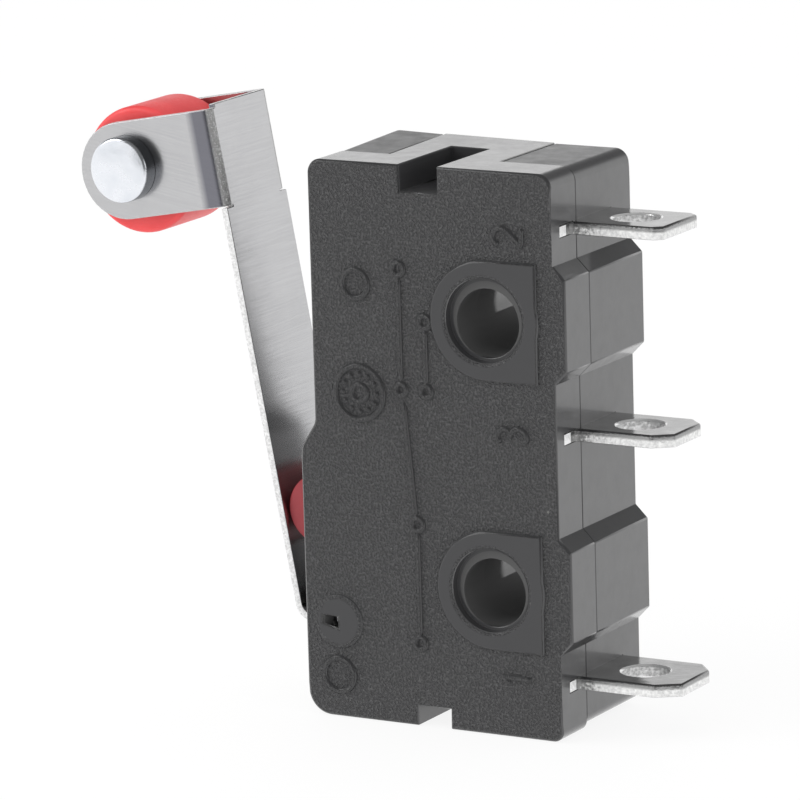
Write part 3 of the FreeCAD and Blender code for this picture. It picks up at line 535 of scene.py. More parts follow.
def make_pin_steel():
    """Polished rivet steel, a little bluish, with soft dents from riveting."""
    material, recipe, shader = start_material("pin_steel")
    dents = recipe.noise(1.4, 4.0, 0.5)
    # Painted reflection and shade: the side of the head is painted dark.
    shaded_side = recipe.ramp(recipe.part(recipe.spot("Normal"), "Y"), -0.5, -0.2)
    colour = recipe.tint(shaded_side, recipe.tint(recipe.spread(dents), PIN_DARK, PIN_LIGHT), PIN_SIDE_PAINTED_DARK)
    roughness = recipe.spread(dents, 0.20, 0.30)
    recipe.fill(shader.inputs, Base_Color=colour, Roughness=roughness, Metallic=1.0)
    recipe.relief(shader, dents, 0.3, 0.08)
    return material


pin_steel = make_pin_steel()
print("pin material:", pin_steel.name)

# %% [markdown]
# The terminals. They are brass blades with a bright tin coat that pools into soft dimples. The
# punch burnished the upper part of each sheared side and tore the lower part, and the sides are
# darker near the case. A group works out these places for a blade at a given height.

# %% Places on a blade
SHOULDER_END = -1.8 * MM
WIRE_HOLE = (mount_place["common_wire_hole"][0], 0, 0)
WIRE_HOLE_RADIUS = 0.82 * MM
BURNISHED_RUN = 0.08 * MM
DARKER_FAR, DARKER_NEAR = 3.9 * MM, 3.3 * MM
DARKER_RAGGED = 0.9 * MM
HOLE_LIP = 0.07 * MM
HOLE_LIP_FADE = 0.11 * MM


def make_blade_places():
    """Masks: sheared sides, their burnished upper part, their darker length near the case, with a
    border made ragged by a tone, the shoulder's end, and the rim and wall of the wire hole."""
    outputs = ["Sheared", "Burnished", "Soiled", "End", "Hole"]
    tree, recipe, source, sink = start_group("blade_places", {"Middle": 0.0, "Tone": 0.5}, outputs)
    spot = recipe.spot()
    facing = recipe.math("ABSOLUTE", recipe.part(recipe.spot("Normal"), "Z"))
    at_end = recipe.math("LESS_THAN", recipe.part(spot, "Y"), SHOULDER_END)
    level = recipe.math("SUBTRACT", recipe.part(spot, "Z"), source["Middle"])
    ragged = recipe.math("ADD", recipe.part(spot, "X"), recipe.both(source["Tone"], DARKER_RAGGED))
    away = recipe.distance(spot, WIRE_HOLE, (1, 1, 0))
    hole = recipe.ramp(away, WIRE_HOLE_RADIUS + HOLE_LIP_FADE, WIRE_HOLE_RADIUS + HOLE_LIP)
    near_case = recipe.both(recipe.ramp(ragged, DARKER_FAR, DARKER_NEAR), recipe.outside(at_end))
    burnished = recipe.ramp(level, 0.0, BURNISHED_RUN)
    recipe.fill(sink, Sheared=recipe.math("LESS_THAN", facing, 0.5), Burnished=burnished)
    recipe.fill(sink, Soiled=near_case, End=at_end, Hole=hole)
    return tree


blade_places = make_blade_places()
print("group:", blade_places.name)

# %% [markdown]
# Tin for each blade. The burnished part lies at the blade's own height, so each of the three
# gets its own material from one recipe.

# %% Tinned brass
TIN_DARK, TIN_LIGHT = (0.31, 0.31, 0.31, 1), (0.44, 0.44, 0.44, 1)
SHEAR_DARK, SHEAR_LIGHT = (0.70, 0.70, 0.70, 1), (1.0, 1.0, 0.99, 1)
BURNISHED_TONE = (0.40, 0.40, 0.40, 1)
NEAR_CASE_TONE = (0.16, 0.16, 0.16, 1)
END_TONE = (1.0, 1.0, 1.0, 1)
WALL_DARK, WALL_LIGHT = (0.45, 0.45, 0.45, 1), (0.92, 0.92, 0.92, 1)
HOLE_RIM_HIGHLIGHT = (0.95, 0.95, 0.95, 1)
EDGE_HIGHLIGHT_TONE = (0.97, 0.97, 0.97, 1)


def make_tinned_brass(name, middle):
    """Bright tin on brass for a blade at one height, dimpled on the faces, rough on the sides."""
    material, recipe, shader = start_material(name)
    pools = recipe.noise(1.2, 3.0, 0.5)
    torn = use_group(recipe, grain, Size=0.12)
    rim = use_group(recipe, edges, Radius=0.05)["Mask"]
    places = use_group(recipe, blade_places, Middle=middle, Tone=torn["Tone"])
    sheared, at_end, at_hole = places["Sheared"], places["End"], places["Hole"]
    side = recipe.tint(torn["Tone"], SHEAR_DARK, SHEAR_LIGHT)
    side = recipe.tint(places["Burnished"], side, BURNISHED_TONE)
    # The sides are darker near the case.
    side = recipe.tint(recipe.both(places["Soiled"], 0.8), side, NEAR_CASE_TONE)
    side = recipe.tint(at_end, side, END_TONE)
    colour = recipe.tint(sheared, recipe.tint(recipe.spread(pools), TIN_DARK, TIN_LIGHT), side)
    wall = recipe.tint(torn["Tone"], WALL_DARK, WALL_LIGHT)
    # Painted highlight: a white ring on the faces round the wire hole, for its rounded rim.
    colour = recipe.tint(at_hole, colour, recipe.tint(sheared, HOLE_RIM_HIGHLIGHT, wall))
    # Painted highlight: the blade's edges are painted near white.
    colour = recipe.tint(recipe.both(rim, 0.4), colour, EDGE_HIGHLIGHT_TONE)
    matt = recipe.either(recipe.both(at_hole, 0.6), recipe.both(at_end, sheared))
    matt = recipe.either(recipe.both(sheared, recipe.outside(places["Burnished"])), matt)
    roughness, metallic = recipe.mix(sheared, 0.17, 0.42), recipe.mix(matt, 1.0, 0.35)
    recipe.fill(shader.inputs, Base_Color=colour, Roughness=roughness, Metallic=metallic)
    recipe.relief(shader, recipe.mix(sheared, recipe.both(pools, 0.4), torn["Height"]), 0.5, 0.05)
    return material


tins = {name: make_tinned_brass(name + "_tin", height) for name, height in BLADES.items()}
print("tinned blades:", sorted(tins))

# %% [markdown]
# The metals inside are a bare spring-brass arm, silver contacts and a drawn wire spring. The
# case hides them, so two tones and fine lines are enough.

# %% Inner metals
def make_plain_metal(name, dark, light, roughness, pitch):
    """Metal with fine drawn or rolled lines between two tones."""
    material, recipe, shader = start_material(name)
    lined = use_group(recipe, lines, Turn=0.0, Pitch=pitch)["Height"]
    colour = recipe.tint(recipe.spread(lined), dark, light)
    roughness = recipe.spread(lined, roughness, roughness + 0.1)
    recipe.fill(shader.inputs, Base_Color=colour, Roughness=roughness, Metallic=1.0)
    recipe.relief(shader, lined, 0.2, 0.02)
    return material


arm_brass = make_plain_metal("arm_brass", (0.66, 0.46, 0.18, 1), (0.86, 0.66, 0.32, 1), 0.25, 0.08)
contact_silver = make_plain_metal(
    "contact_silver", (0.72, 0.71, 0.66, 1), (0.92, 0.91, 0.87, 1), 0.2, 0.1
)
spring_steel = make_plain_metal("spring_steel", (0.35, 0.35, 0.36, 1), (0.6, 0.6, 0.61, 1), 0.25, 0.04)
print("inner metals:", arm_brass.name, contact_silver.name, spring_steel.name)

# %% [markdown]
# The red plastic of the roller and the plunger. It is moulded nylon or acetal, satin, with faint
# clouding and scuffs, and it lets a little light in, so its shaded side stays red.

# %% Red plastic
RED_IN_DEPTH = (1.0, 0.2, 0.1)


def make_red_plastic(name, dark, light):
    """Satin red plastic with faint clouding between two tones and tiny scuffs."""
    material, recipe, shader = start_material(name)
    scuffs = use_group(recipe, grain, Size=0.1)
    colour = recipe.tint(recipe.spread(recipe.noise(0.9, 3.0, 0.5)), dark, light)
    roughness = recipe.ramp(scuffs["Tone"], 0.0, 1.0, 0.36, 0.48)
    recipe.fill(shader.inputs, Base_Color=colour, Roughness=roughness, Subsurface_Weight=0.15)
    recipe.fill(shader.inputs, Subsurface_Radius=RED_IN_DEPTH, Subsurface_Scale=0.4 * MM)
    recipe.relief(shader, scuffs["Height"], 0.06, 0.03)
    return material


roller_red = make_red_plastic("roller_red", (0.78, 0.055, 0.06, 1), (0.88, 0.08, 0.085, 1))
# Painted shade: the plunger gets a darker copy of the red, because it sits in shade.
shaded_plunger_red = make_red_plastic("shaded_plunger_red", (0.30, 0.03, 0.04, 1), (0.38, 0.045, 0.055, 1))
by_slot = dict(case_plastic=case_plastic, lever_steel=lever_steel, pin_steel=pin_steel)
by_slot.update(red_plastic=roller_red, arm_brass=arm_brass)
by_slot.update(contact_silver=contact_silver, spring_steel=spring_steel)
by_name = {"plunger": shaded_plunger_red, "base_housing": housing_plastic, **tins}
finish_of = {name: by_name.get(name) or by_slot[slot_of[name]] for name in nodes}
for name, thing in nodes.items():
    thing.data.materials.clear()
    thing.data.materials.append(finish_of[name])
print("finishes:", sorted({finish.name for finish in finish_of.values()}))

# %% [markdown]
# Softened edges. The rigid pieces have knife-sharp edges, and real moulded or stamped ones never
# do: the light line along an edge makes a corner look solid. A copy of each visible piece is
# merged into one skin, its flat facets are joined, and a Bevel modifier rounds its sharp edges. A
# Weighted Normal modifier keeps the shading of the flat sides flat.

# %% Softened copies
SHARP = math.radians(28)
FLAT = math.radians(0.3)
SAME_POINT = 0.0004 * MM


def stand_for(name, thing):
    """Puts a piece in the place of a rigid one, on its body and with its finish."""
    thing.data.materials.clear()
    thing.data.materials.append(finish_of[name])
    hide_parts(name)
    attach(thing, body_of[name])
    return thing


def softened(name, width, share=None, changes=()):
    """Copy of a rigid piece with rounded edges. Each sharp outer edge gets the part of the width
    that share gives for its middle. The changes are functions that first move its points."""
    thing = show(name + "_skin", nodes[name].data.copy())
    skin = bmesh.new()
    skin.from_mesh(thing.data)
    bmesh.ops.remove_doubles(skin, verts=skin.verts, dist=SAME_POINT)
    for change in changes:
        change(skin)
    bmesh.ops.dissolve_limit(skin, angle_limit=FLAT, verts=skin.verts, edges=skin.edges)
    weight = skin.edges.layers.float.new("bevel_weight_edge")
    sharp = [edge for edge in skin.edges if len(edge.link_faces) == 2 and edge.calc_face_angle() > SHARP]
    for edge in sharp:
        middle = (edge.verts[0].co + edge.verts[1].co) / 2
        edge.smooth = False
        if edge.is_convex:
            edge[weight] = share(middle) if share else 1.0
    for face in skin.faces:
        face.smooth = True
    skin.to_mesh(thing.data)
    skin.free()
    bevel = thing.modifiers.new("edges", "BEVEL")
    bevel.limit_method = "WEIGHT"
    bevel.width = width
    bevel.segments = 2
    bevel.use_clamp_overlap = False
    weighted = thing.modifiers.new("flat_faces_stay_flat", "WEIGHTED_NORMAL")
    weighted.keep_sharp = True
    print(name, "sharp edges:", len(sharp), "faces:", len(thing.data.polygons))
    return stand_for(name, thing)


# %% [markdown]
# Where edges are rounded. The cover's outer rim and its raised pads were rounded in the mould,
# while the line where the two mouldings meet, the holes' inner edges and the slots stay sharp.

# %% Rounding of the case
NEAR = 0.01 * MM
SMALL_SHARE = 0.35
HOLE_ZONE = 1.4 * MM
RIM_X = 1.2 * MM
RIM_Z = 1.0 * MM
TERMINAL_SIDE = 2.0 * MM
SLOT_REACH = 0.4 * MM


def on(value, target):
    """Whether a coordinate lies on a plane."""
    return abs(value - target) < NEAR


def in_hole(point):
    """Whether a point lies at the wall of one of the mounting holes."""
    return any(math.hypot(point.x - hole.x, point.z - hole.z) < HOLE_ZONE for hole in HOLES)


def blade_at(point):
    """Height of the blade whose slot a point lies at, or nothing."""
    near = [height for height in BLADES.values() if abs(point.z - height) < SLOT_REACH]
    return near[0] if near and point.x > TERMINAL_SIDE else None


def housing_share(middle):
    """No rounding in the holes, where the two mouldings meet, and at the slots."""
    return 0.0 if in_hole(middle) or blade_at(middle) is not None else 1.0


def cover_share(middle):
    """Full width on the raised pads and the outer rim of the front, a small share elsewhere."""
    if blade_at(middle) is not None or (in_hole(middle) and on(middle.y, PARTING)):
        return 0.0
    near_x = middle.x < cover_low.x + RIM_X or middle.x > cover_high.x - RIM_X
    near_z = middle.z < cover_low.z + RIM_Z or middle.z > cover_high.z - RIM_Z
    at_rim = on(middle.y, FACE) and (near_x or near_z)
    return 1.0 if on(middle.y, cover_low.y) or at_rim else SMALL_SHARE


# %% [markdown]
# Slots and end face. The plastic grips the blades, so each slot closes on its blade and the
# shoulder beside it. The end face with the tongue isn't quite flat: it stands a little proud and
# rises towards its rear left corner.

# %% Slots and end face
BLADE_HALF = 0.225 * MM
SLOT_FRONT = -2.3 * MM
SHOULDER_LOW = -2.31 * MM
TOP_EDGE = 14.05 * MM
TOP_RISE = 0.09 * MM
TONGUE_SIDE = -4.62 * MM
TONGUE_GAP = 0.05 * MM
SLOT_LEFT = -3.05 * MM
SLOT_FOOT = 13.5 * MM
SLOT_WIDEN = 0.18 * MM
CORNER_RISE = 0.13 * MM
CORNER_FROM, CORNER_RUN, CORNER_DEPTH = -2.0 * MM, 5.0 * MM, 4.0 * MM


def close_slots(skin):
    """Each slot's edges move against its blade and its shoulder."""
    for point in skin.verts:
        height = blade_at(point.co)
        if height is not None:
            side = 1 if point.co.z > height else -1
            point.co.z = height + side * BLADE_HALF
            if point.co.y < SLOT_FRONT:
                point.co.y = SHOULDER_LOW


def corner_rise(point):
    """Product of how far a point lies to the left and to the back, nothing at the parting line."""
    leftward = min(max((CORNER_FROM - point.x) / CORNER_RUN, 0.0), 1.0)
    backward = max((point.y - PARTING) / CORNER_DEPTH, 0.0)
    return CORNER_RISE * leftward * backward


def raise_top(skin):
    """Raises the end face, leaves a fine gap left of the tongue and widens its slot."""
    for point in skin.verts:
        if on(point.co.x, TONGUE_SIDE) and point.co.z > TOP_EDGE:
            point.co.x += TONGUE_GAP
        if on(point.co.x, SLOT_LEFT) and point.co.z > SLOT_FOOT:
            point.co.x -= SLOT_WIDEN
        if point.co.z > TOP_EDGE:
            point.co.z += TOP_RISE + corner_rise(point.co)


# %% [markdown]
# The holes' mouths. Each is a short cylinder that ends in a flat ring, and the core that made the
# ring's edge sat a little low. The mouth's points lie on four circles, and each moves as a whole.

# %% Mouths of the holes
MOUTH = {
    (1.63, -3.0): (1.55, -3.0),
    (1.45, -2.82): (1.49, -2.94),
    (1.45, -2.7): (1.46, -2.66),
    (1.27, -2.7): (1.21, -2.66),
}
LIP_RADIUS = 1.3
LIP_DROP = 0.14 * MM


def shape_mouths(skin):
    """Pairs of radius and depth in mm give the old and the new circle; the innermost also drops."""
    for point in skin.verts:
        for hole in HOLES:
            x = point.co.x - hole.x
            z = point.co.z - hole.z
            radius = math.hypot(x, z)
            for (old_radius, old_y), (new_radius, new_y) in MOUTH.items():
                if on(radius, old_radius * MM) and on(point.co.y, old_y * MM):
                    drop = LIP_DROP if new_radius < LIP_RADIUS else 0
                    point.co.x = hole.x + x / radius * new_radius * MM
                    point.co.z = hole.z + z / radius * new_radius * MM - drop
                    point.co.y = new_y * MM
                    break


# %% [markdown]
# The disc over the pivot. It has a soft slope round it and a small lopsided window, through which
# the lever's bent tab shows. Moving points would twist its flat top, so the top is filled anew.

# %% Disc and window
DISC_INNER, DISC_OUTER = 0.9 * MM, 1.02 * MM
DISC_TOP = 0.86 * MM
DISC_FOOT = 0.97 * MM
DISC_SHIFT = 0.08 * MM
WINDOW_MIDDLE = -0.22 * MM
WINDOW = {
    ("left", "up"): (-0.62, 0.15),
    ("right", "up"): (-0.01, 0.12),
    ("left", "down"): (-0.62, -0.08),
    ("right", "down"): (-0.01, -0.25),
}


def shape_disc(skin):
    """The disc's two circles get new radii, and the window's corners new places."""
    top = set()
    for point in skin.verts:
        x = point.co.x - PIVOT.x
        z = point.co.z - PIVOT.z
        radius = math.hypot(x, z)
        on_top = on(point.co.y, cover_low.y)
        if radius < DISC_OUTER and on_top:
            top.add(point)
        if DISC_INNER < radius < DISC_OUTER and point.co.y < FACE + NEAR:
            size = DISC_TOP if on_top else DISC_FOOT
            point.co.x = PIVOT.x + DISC_SHIFT + x / radius * size
            point.co.z = PIVOT.z + z / radius * size
        elif radius < DISC_INNER and on_top:
            corner = WINDOW["right" if x > WINDOW_MIDDLE else "left", "up" if z > 0 else "down"]
            point.co.x = PIVOT.x + DISC_SHIFT + corner[0] * MM
            point.co.z = PIVOT.z + corner[1] * MM
    flat = [face for face in skin.faces if top.issuperset(face.verts)]
    bmesh.ops.delete(skin, geom=flat, context="FACES")
    outline = [edge for edge in skin.edges if edge.is_boundary and top.issuperset(edge.verts)]
    filled = bmesh.ops.triangle_fill(skin, edges=outline, use_beauty=True, normal=(0, -1, 0))
    for face in filled["geom"]:
        if isinstance(face, bmesh.types.BMFace):
            face.normal_update()
            if face.normal.y > 0:
                face.normal_flip()
    print("disc filled with", len(filled["geom"]), "elements")


softened("front_cover", 0.09 * MM, cover_share, [close_slots, raise_top, shape_mouths, shape_disc])
softened("base_housing", 0.04 * MM, housing_share, [close_slots, raise_top])

# %% [markdown]
# Blades, lever and plunger. The punch pulled the metal down along a blade's upper edges and left
# the lower ones sharp. The blade's shoulder comes out flush with the case.

# %% Blades, lever and plunger
SHOULDER_FACE = 2.46 * MM
SHOULDER_BACK = 2.62 * MM
SHOULDER_SIDE = -1.47 * MM
SHOULDER_OUT = 0.2 * MM
SHOULDER_TIP = -2.2 * MM
EDGE_APART = 0.1 * MM


def shape_blade(skin):
    """Moves the shoulder's face out."""
    for point in skin.verts:
        if SHOULDER_FACE - NEAR < point.co.x < SHOULDER_BACK and point.co.y < SHOULDER_SIDE:
            point.co.x += SHOULDER_OUT


def blade_share(name):
    """Widest rounding on the shoulder's end, soft along the upper edges, least along the lower."""
    def share(middle):
        above = middle.z > BLADES[name] + EDGE_APART
        below = middle.z < BLADES[name] - EDGE_APART
        if middle.y < SHOULDER_TIP:
            return 1.0 if above else 0.4
        return 0.6 if above else (0.2 if below else 0.5)
    return share


softened("lever", 0.03 * MM)
softened("plunger", 0.05 * MM)
for name in BLADES:
    softened(name, 0.14 * MM, blade_share(name), [shape_blade])

# %% [markdown]
# The roller is turned about one axis, so it is a profile carried round a circle. Its rims and
# its width come from the rigid model's box. It hangs a little low in its play on the pin.

# %% Turned pieces
CREASE = math.radians(40)


def turned(name, centre, profile, steps=96):
    """Surface of revolution about Y. A point of the closed profile (radius, place along Y) goes
    round the axis by an even angle: x = centre + r cos a, z = centre + r sin a."""
    radius, along = (np.array(column) for column in zip(*profile))
    angle = np.linspace(0, 2 * np.pi, steps, endpoint=False)[:, None]
    x = radius * np.cos(angle)
    z = radius * np.sin(angle)
    y = np.broadcast_to(along, x.shape)
    points = np.stack([x + centre[0], y + centre[1], z + centre[2]], axis=-1).reshape(-1, 3)
    count = len(profile)
    i, j = np.meshgrid(np.arange(steps), np.arange(count), indexing="ij")
    i2 = (i + 1) % steps
    j2 = (j + 1) % count
    faces = np.stack([i * count + j, i * count + j2, i2 * count + j2, i2 * count + j], axis=-1)
    mesh = bpy.data.meshes.new(name)
    mesh.from_pydata(points.tolist(), [], faces.reshape(-1, 4).tolist())
    return smoothed(mesh, CREASE)


def smoothed(mesh, crease):
    """Merges the points that meet, as on the axis, turns all faces outwards and shades them
    smooth except where they turn by more than the crease angle."""
    skin = bmesh.new()
    skin.from_mesh(mesh)
    bmesh.ops.remove_doubles(skin, verts=skin.verts, dist=SAME_POINT)
    bmesh.ops.recalc_face_normals(skin, faces=skin.faces)
    for face in skin.faces:
        face.smooth = True
    skin.to_mesh(mesh)
    skin.free()
    mesh.set_sharp_from_angle(angle=crease)
    return mesh


def arc(centre, radius, start, end, steps=8):
    """Points of a circular arc in the profile plane, angles in degrees."""
    angle = np.radians(np.linspace(start, end, steps))
    return [(centre[0] + radius * math.cos(a), centre[1] + radius * math.sin(a)) for a in angle]


# %% Roller
roller_low, roller_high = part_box("roller")
roller_centre = (roller_low + roller_high) / 2
ROLLER_RADIUS = (roller_high.z - roller_low.z) / 2
ROLLER_HALF = (roller_high.y - roller_low.y) / 2
BORE_RADIUS = 0.65 * MM
RIM = 0.2 * MM
HANG = Vector((0.03, 0, -0.08)) * MM


def roller_profile():
    """Closed half section: bore, flat face, rounded rim, running surface and back."""
    outer = ROLLER_RADIUS - RIM
    side = ROLLER_HALF - RIM
    front_rim = arc((outer, -side), RIM, -90, 0)
    back_rim = arc((outer, side), RIM, 0, 90)
    return [(BORE_RADIUS, -ROLLER_HALF)] + front_rim + back_rim + [(BORE_RADIUS, ROLLER_HALF)]


roller_mesh = turned("roller_wheel", roller_centre + HANG, roller_profile())
stand_for("roller", show("roller_wheel", roller_mesh))
print("roller radius in mm:", round(ROLLER_RADIUS / MM, 2))

# %% [markdown]
# The pin is turned too, and then riveted: its head has a flattened dome and a rolled rim, and the
# blow pushed the head a little off the shank's axis.

# %% Riveted pin
pin_low, pin_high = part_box("roller_pin")
pin_centre = Vector(((pin_low.x + pin_high.x) / 2, 0, (pin_low.z + pin_high.z) / 2))
HEAD_RADIUS = (pin_high.x - pin_low.x) / 2
HEAD_FRONT = pin_low.y + 0.1 * MM
HEAD_BACK = -2.06 * MM
HEAD_RIM = 0.13 * MM
HEAD_SHIFT = np.array((-0.13, 0, 0.02)) * MM
DOME = 0.03 * MM
SHANK_RADIUS = 0.55 * MM
TAIL_START = 2.06 * MM
TAIL_RADIUS = 0.9 * MM


def pin_profile():
    """Closed half section of the pin: flattened dome, rolled rim, shank, riveted tail."""
    rim = arc((HEAD_RADIUS - HEAD_RIM, HEAD_FRONT + DOME + HEAD_RIM), HEAD_RIM, -80, 0, 6)
    dome = [(0, HEAD_FRONT), (HEAD_RADIUS * 0.5, HEAD_FRONT + DOME * 0.3)]
    shank = [(HEAD_RADIUS, HEAD_BACK), (SHANK_RADIUS, HEAD_BACK), (SHANK_RADIUS, TAIL_START)]
    tail_rise = pin_high.y - TAIL_START
    tail = [(TAIL_RADIUS, TAIL_START), (TAIL_RADIUS, TAIL_START + tail_rise * 0.35)]
    tail += [(TAIL_RADIUS * 0.6, pin_high.y - tail_rise * 0.08), (0, pin_high.y)]
    return dome + rim + shank + tail


def shift_head(mesh):
    """Moves all points of the head by the same small step."""
    points = np.empty(len(mesh.vertices) * 3)
    mesh.vertices.foreach_get("co", points)
    points = points.reshape(-1, 3)
    points[points[:, 1] < HEAD_BACK + NEAR] += HEAD_SHIFT
    mesh.vertices.foreach_set("co", points.ravel())
    mesh.update()
    return mesh


pin_mesh = shift_head(turned("riveted_pin", pin_centre, pin_profile()))
stand_for("roller_pin", show("riveted_pin", pin_mesh))
print("head radius in mm:", round(HEAD_RADIUS / MM, 2))

# %% [markdown]
# Raised marks on the cover: the terminal numbers 1, 3 and 2, a plain contact diagram, and the
# rings that mould makers leave. A cutter with a round nose makes such marks in a mould, so each
# stroke is a low ridge with half an ellipse as its section, carried along a path.

# %% Strokes
STROKE_SINK = 0.03 * MM
STROKE_SIDES = 9
STROKE_HALF = 0.1 * MM
STROKE_RISE = 0.085 * MM
END_SIZE = 0.02


def ridge(path, closed=False):
    """Ridge along a path of (x, z) points on the front plane. Across the path the section is
    half an ellipse; towards an open end it shrinks like the end of a circle. Returns points, faces."""
    if closed:
        ahead = np.roll(path, -1, axis=0) - np.roll(path, 1, axis=0)
        size = np.ones(len(path))
    else:
        ahead = np.gradient(path, axis=0)
        step = np.hypot(*np.diff(path, axis=0).T)
        run = np.concatenate([[0], np.cumsum(step)])
        nearest = np.minimum(run, run[-1] - run)
        size = np.sqrt(np.clip(1 - (1 - np.minimum(nearest / STROKE_HALF, 1)) ** 2, END_SIZE, 1))
    ahead /= np.hypot(*ahead.T)[:, None]
    sideways = np.stack([-ahead[:, 1], ahead[:, 0]], axis=1)
    angle = np.linspace(0, np.pi, STROKE_SIDES)
    across = np.concatenate([np.cos(angle), [-1, 1]])
    up = np.concatenate([np.sin(angle), [0, 0]])
    sink = np.concatenate([np.zeros(STROKE_SIDES), [STROKE_SINK, STROKE_SINK]])
    offset = across[None, :] * (STROKE_HALF * size)[:, None]
    x = path[:, 0:1] + offset * sideways[:, 0:1]
    z = path[:, 1:2] + offset * sideways[:, 1:2]
    y = FACE - up[None, :] * STROKE_RISE * size[:, None] + sink[None, :]
    points = np.stack([x, y, z], axis=-1).reshape(-1, 3)
    count = len(across)
    stations = len(path) if closed else len(path) - 1
    i, j = np.meshgrid(np.arange(stations), np.arange(count), indexing="ij")
    i2 = (i + 1) % len(path)
    j2 = (j + 1) % count
    faces = np.stack([i * count + j, i2 * count + j, i2 * count + j2, i * count + j2], axis=-1)
    faces = faces.reshape(-1, 4).tolist()
    if not closed:
        last = (len(path) - 1) * count
        faces.append(list(range(count)))
        faces.append(list(range(last + count - 1, last - 1, -1)))
    return points, faces


def raised_marks(name, strokes):
    """One piece from several ridges. Each stroke is (path, closed)."""
    points, faces, first = [], [], 0
    for path, closed in strokes:
        stroke_points, stroke_faces = ridge(path, closed)
        points.append(stroke_points)
        faces += [[corner + first for corner in face] for face in stroke_faces]
        first += len(stroke_points)
    mesh = bpy.data.meshes.new(name)
    mesh.from_pydata(np.concatenate(points).tolist(), [], faces)
    smoothed(mesh, math.radians(50))
    mesh.materials.append(case_plastic)
    thing = show(name, mesh)
    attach(thing, "case")
    print(name, "strokes:", len(strokes), "faces:", len(mesh.polygons))
    return thing


# %% [markdown]
# Paths for the marks. They are straight strokes, bows and rings, placed in millimetres from the
# case's lower left corner, as on a drawing of the mould.

# %% Paths
CASE_CORNER = np.array([cover_low.x, cover_low.z])


def straight(start, end, steps=14):
    """Points of a straight stroke."""
    return np.linspace(start, end, steps)


def bow(centre, radius, start, end, steps=22):
    """Points of a round stroke, angles in degrees."""
    angle = np.radians(np.linspace(start, end, steps))
    return np.stack([centre[0] + radius * np.cos(angle), centre[1] + radius * np.sin(angle)], axis=1)


def joined(*paths):
    """One path from several that meet end to end."""
    return np.concatenate([paths[0]] + [path[1:] for path in paths[1:]])


def line(start, end, steps=24):
    """Straight stroke on the case."""
    return straight(start, end, steps) * MM + CASE_CORNER, False


def ring(centre, radius, steps=40):
    """Closed ring on the case."""
    return bow(centre, radius, 0, 360, steps + 1)[:-1] * MM + CASE_CORNER, True


# %% Terminal numbers
DIGIT_WIDTH = 0.66
DIGIT_HEIGHT = 1.12
DIGIT_COLUMN = 8.42
ONE = joined(straight((0.12, 0.76), (0.34, 1.0)), straight((0.34, 1.0), (0.34, 0.0)))
TWO = joined(
    bow((0.32, 0.7), 0.29, 165, -38),
    straight((0.55, 0.52), (0.05, 0.0)),
    straight((0.05, 0), (0.66, 0)),
)
THREE = joined(bow((0.3, 0.74), 0.25, 150, -85), bow((0.3, 0.26), 0.28, 85, -150))


def figure(path, height):
    """Figure drawn in its own square, turned a quarter to the left and centred on the case.
    Its right becomes up, and its up becomes left."""
    right = (path[:, 0] - DIGIT_WIDTH / 2) * MM
    up = (path[:, 1] - 0.5) * DIGIT_HEIGHT * MM
    middle = CASE_CORNER + np.array([DIGIT_COLUMN, height]) * MM
    return [(np.stack([middle[0] - up, middle[1] + right], axis=1), False)]


raised_marks("number_one", figure(ONE, 2.12))
raised_marks("number_three", figure(THREE, 10.72))
raised_marks("number_two", figure(TWO, 17.66))

# %% Contact diagram and mould marks
COLUMN = 4.62
LEFT, RIGHT = COLUMN - 0.5, COLUMN + 0.5
raised_marks("contact_diagram", [
    ring((COLUMN, 3.0), 0.22),
    line((COLUMN, 3.25), (COLUMN, 7.0)),
    ring((COLUMN, 7.25), 0.22),
    line((COLUMN - 0.06, 7.5), (COLUMN - 0.42, 11.6)),
    ring((LEFT, 12.0), 0.2),
    ring((RIGHT, 12.0), 0.2),
    line((LEFT, 12.25), (LEFT, 16.0)),
    line((RIGHT, 12.25), (RIGHT, 14.2)),
    ring((LEFT, 16.25), 0.22),
    ring((RIGHT, 14.45), 0.22),
])

DIAL = (2.45, 11.75)
DIAL_RADIUS, DIAL_HUB = 0.95, 0.3
TICK_START, TICK_END = 0.55, 0.78
TICKS = 12
dial = [ring(DIAL, DIAL_RADIUS, 64), ring(DIAL, DIAL_HUB)]
for tick in range(TICKS):
    angle = 2 * math.pi * tick / TICKS
    direction = np.array([math.cos(angle), math.sin(angle)])
    dial.append(line(DIAL + direction * TICK_START, DIAL + direction * TICK_END, 8))
raised_marks("mould_dial", dial)
raised_marks("ejector_rings", [ring((2.4, 15.6), 0.5, 48), ring((1.30, 1.53), 0.6, 48)])

# %% [markdown]
# The floor. The switch stands on its lower end on white paper. To the eye the paper is plain
# white and still takes the object's shadow. Gloss sees it end in front, where the room is dark.

# %% Floor
TO_CAMERA = (math.sin(CAMERA_YAW), -math.cos(CAMERA_YAW), 0.0)
WHITE, PAPER = (1, 1, 1, 1), (0.9, 0.9, 0.9, 1)
DARK_ROOM = 0.12
PAPER_END, PAPER_GONE = 160 * MM, 230 * MM
FLOOR_HALF = 0.6
FLOOR_GAP = 0.02 * MM
FLOOR_BOUNCE = 1.15
FLOOR_TO_EYE = 1.035
FLOOR_SELF_BRIGHT = 0.85


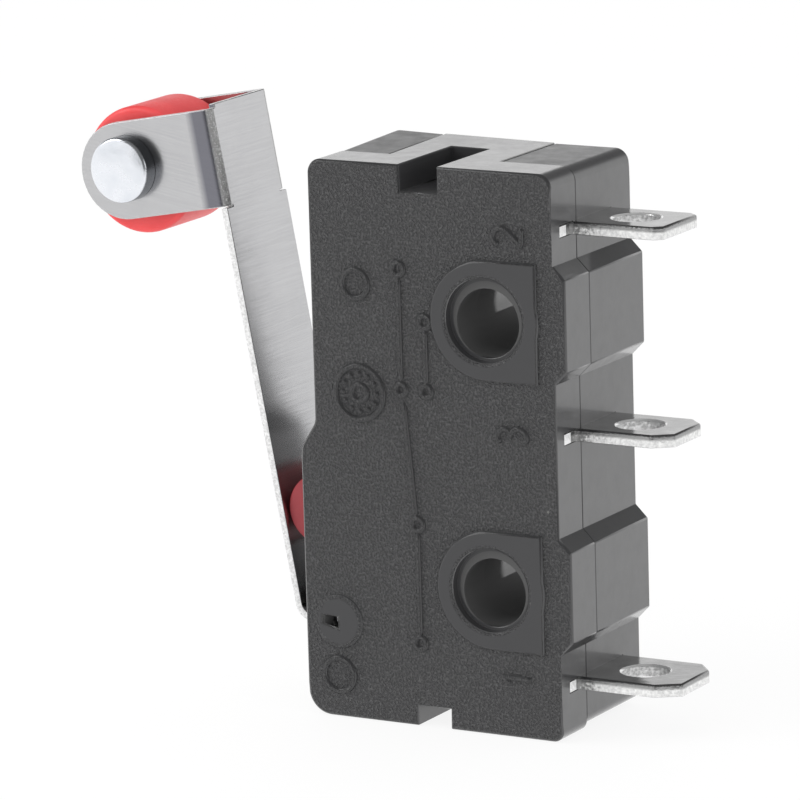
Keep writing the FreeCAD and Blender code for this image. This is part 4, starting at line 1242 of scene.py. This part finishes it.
def add_floor():
    """White floor under the case's lower end, mostly self-bright to the camera."""
    half, level = FLOOR_HALF, cover_low.z - FLOOR_GAP
    mesh = bpy.data.meshes.new("floor")
    corners = [(-half, -half, level), (half, -half, level), (half, half, level), (-half, half, level)]
    mesh.from_pydata(corners, [], [(0, 1, 2, 3)])
    floor = show("floor", mesh)
    material, recipe, shader = start_material("floor_white")
    recipe.fill(shader.inputs, Base_Color=PAPER, Roughness=0.6)
    paper = recipe.ramp(recipe.dot(recipe.spot(), TO_CAMERA), PAPER_END, PAPER_GONE, 1.0, DARK_ROOM)
    path = recipe.add("LightPath").outputs
    strength = recipe.mix(path["Is Glossy Ray"], FLOOR_BOUNCE, paper)
    strength = recipe.mix(path["Is Camera Ray"], strength, FLOOR_TO_EYE)
    shine = recipe.add("Emission", {"Color": WHITE, "Strength": strength}).outputs[0]
    mix = recipe.add("MixShader", {0: FLOOR_SELF_BRIGHT, 1: shader.outputs[0], 2: shine})
    recipe.fill(material.node_tree.nodes["Material Output"].inputs, Surface=mix.outputs[0])
    mesh.materials.append(material)
    return floor


floor = add_floor()
print("floor at z =", round(floor.data.vertices[0].co.z / MM, 2), "mm")

# %% [markdown]
# World and lamp. Shiny metal shows the room round it, so gloss sees a white backdrop that ends a
# little above the table, with a dark room over it and behind the camera. Matt surfaces see plain
# white. One large soft lamp stands up and to the left in front.

# %% World and lamp
BACKDROP_END, BACKDROP_GONE = 0.26, 0.44
OPEN_SIDE, DARK_SIDE = 0.60, 0.85
FILL_LIGHT = 0.92
KEY_PLACE = (-0.16, -0.12, 0.14)
KEY_AIM = Vector((-0.004, 0, 0.005))
KEY_SIZE = 0.12
KEY_POWER = 0.15


def add_world():
    """White to the eye and to matt surfaces; gloss sees the backdrop and the dark room."""
    world = bpy.data.worlds.new("studio")
    bpy.context.scene.world = world
    world.use_nodes = True
    recipe = Recipe(world.node_tree)
    direction = recipe.spot("Generated")
    backdrop = recipe.ramp(recipe.part(direction, "Z"), BACKDROP_END, BACKDROP_GONE, 1.0, 0.0)
    open_side = recipe.ramp(recipe.dot(direction, TO_CAMERA), OPEN_SIDE, DARK_SIDE, 1.0, 0.0)
    seen = recipe.ramp(recipe.both(backdrop, open_side), 0.0, 1.0, DARK_ROOM, 1.0)
    path = recipe.add("LightPath").outputs
    strength = recipe.mix(path["Is Glossy Ray"], FILL_LIGHT, seen)
    strength = recipe.mix(path["Is Camera Ray"], strength, 1.0)
    recipe.fill(world.node_tree.nodes["Background"].inputs, Color=WHITE, Strength=strength)
    return world


def add_lamp(name, place, aim, size, power):
    """Square soft lamp that looks at a point of the object."""
    lamp = bpy.data.lights.new(name, "AREA")
    lamp.size = size
    lamp.energy = power
    thing = show(name, lamp)
    place = Vector(place)
    turn = (aim - place).to_track_quat("-Z", "Y").to_matrix().to_4x4()
    thing.matrix_world = Matrix.Translation(place) @ turn
    return thing


add_world()
add_lamp("key", KEY_PLACE, KEY_AIM, KEY_SIZE, KEY_POWER)
bpy.context.scene.view_settings.view_transform = "Standard"

# %% [markdown] Finish.
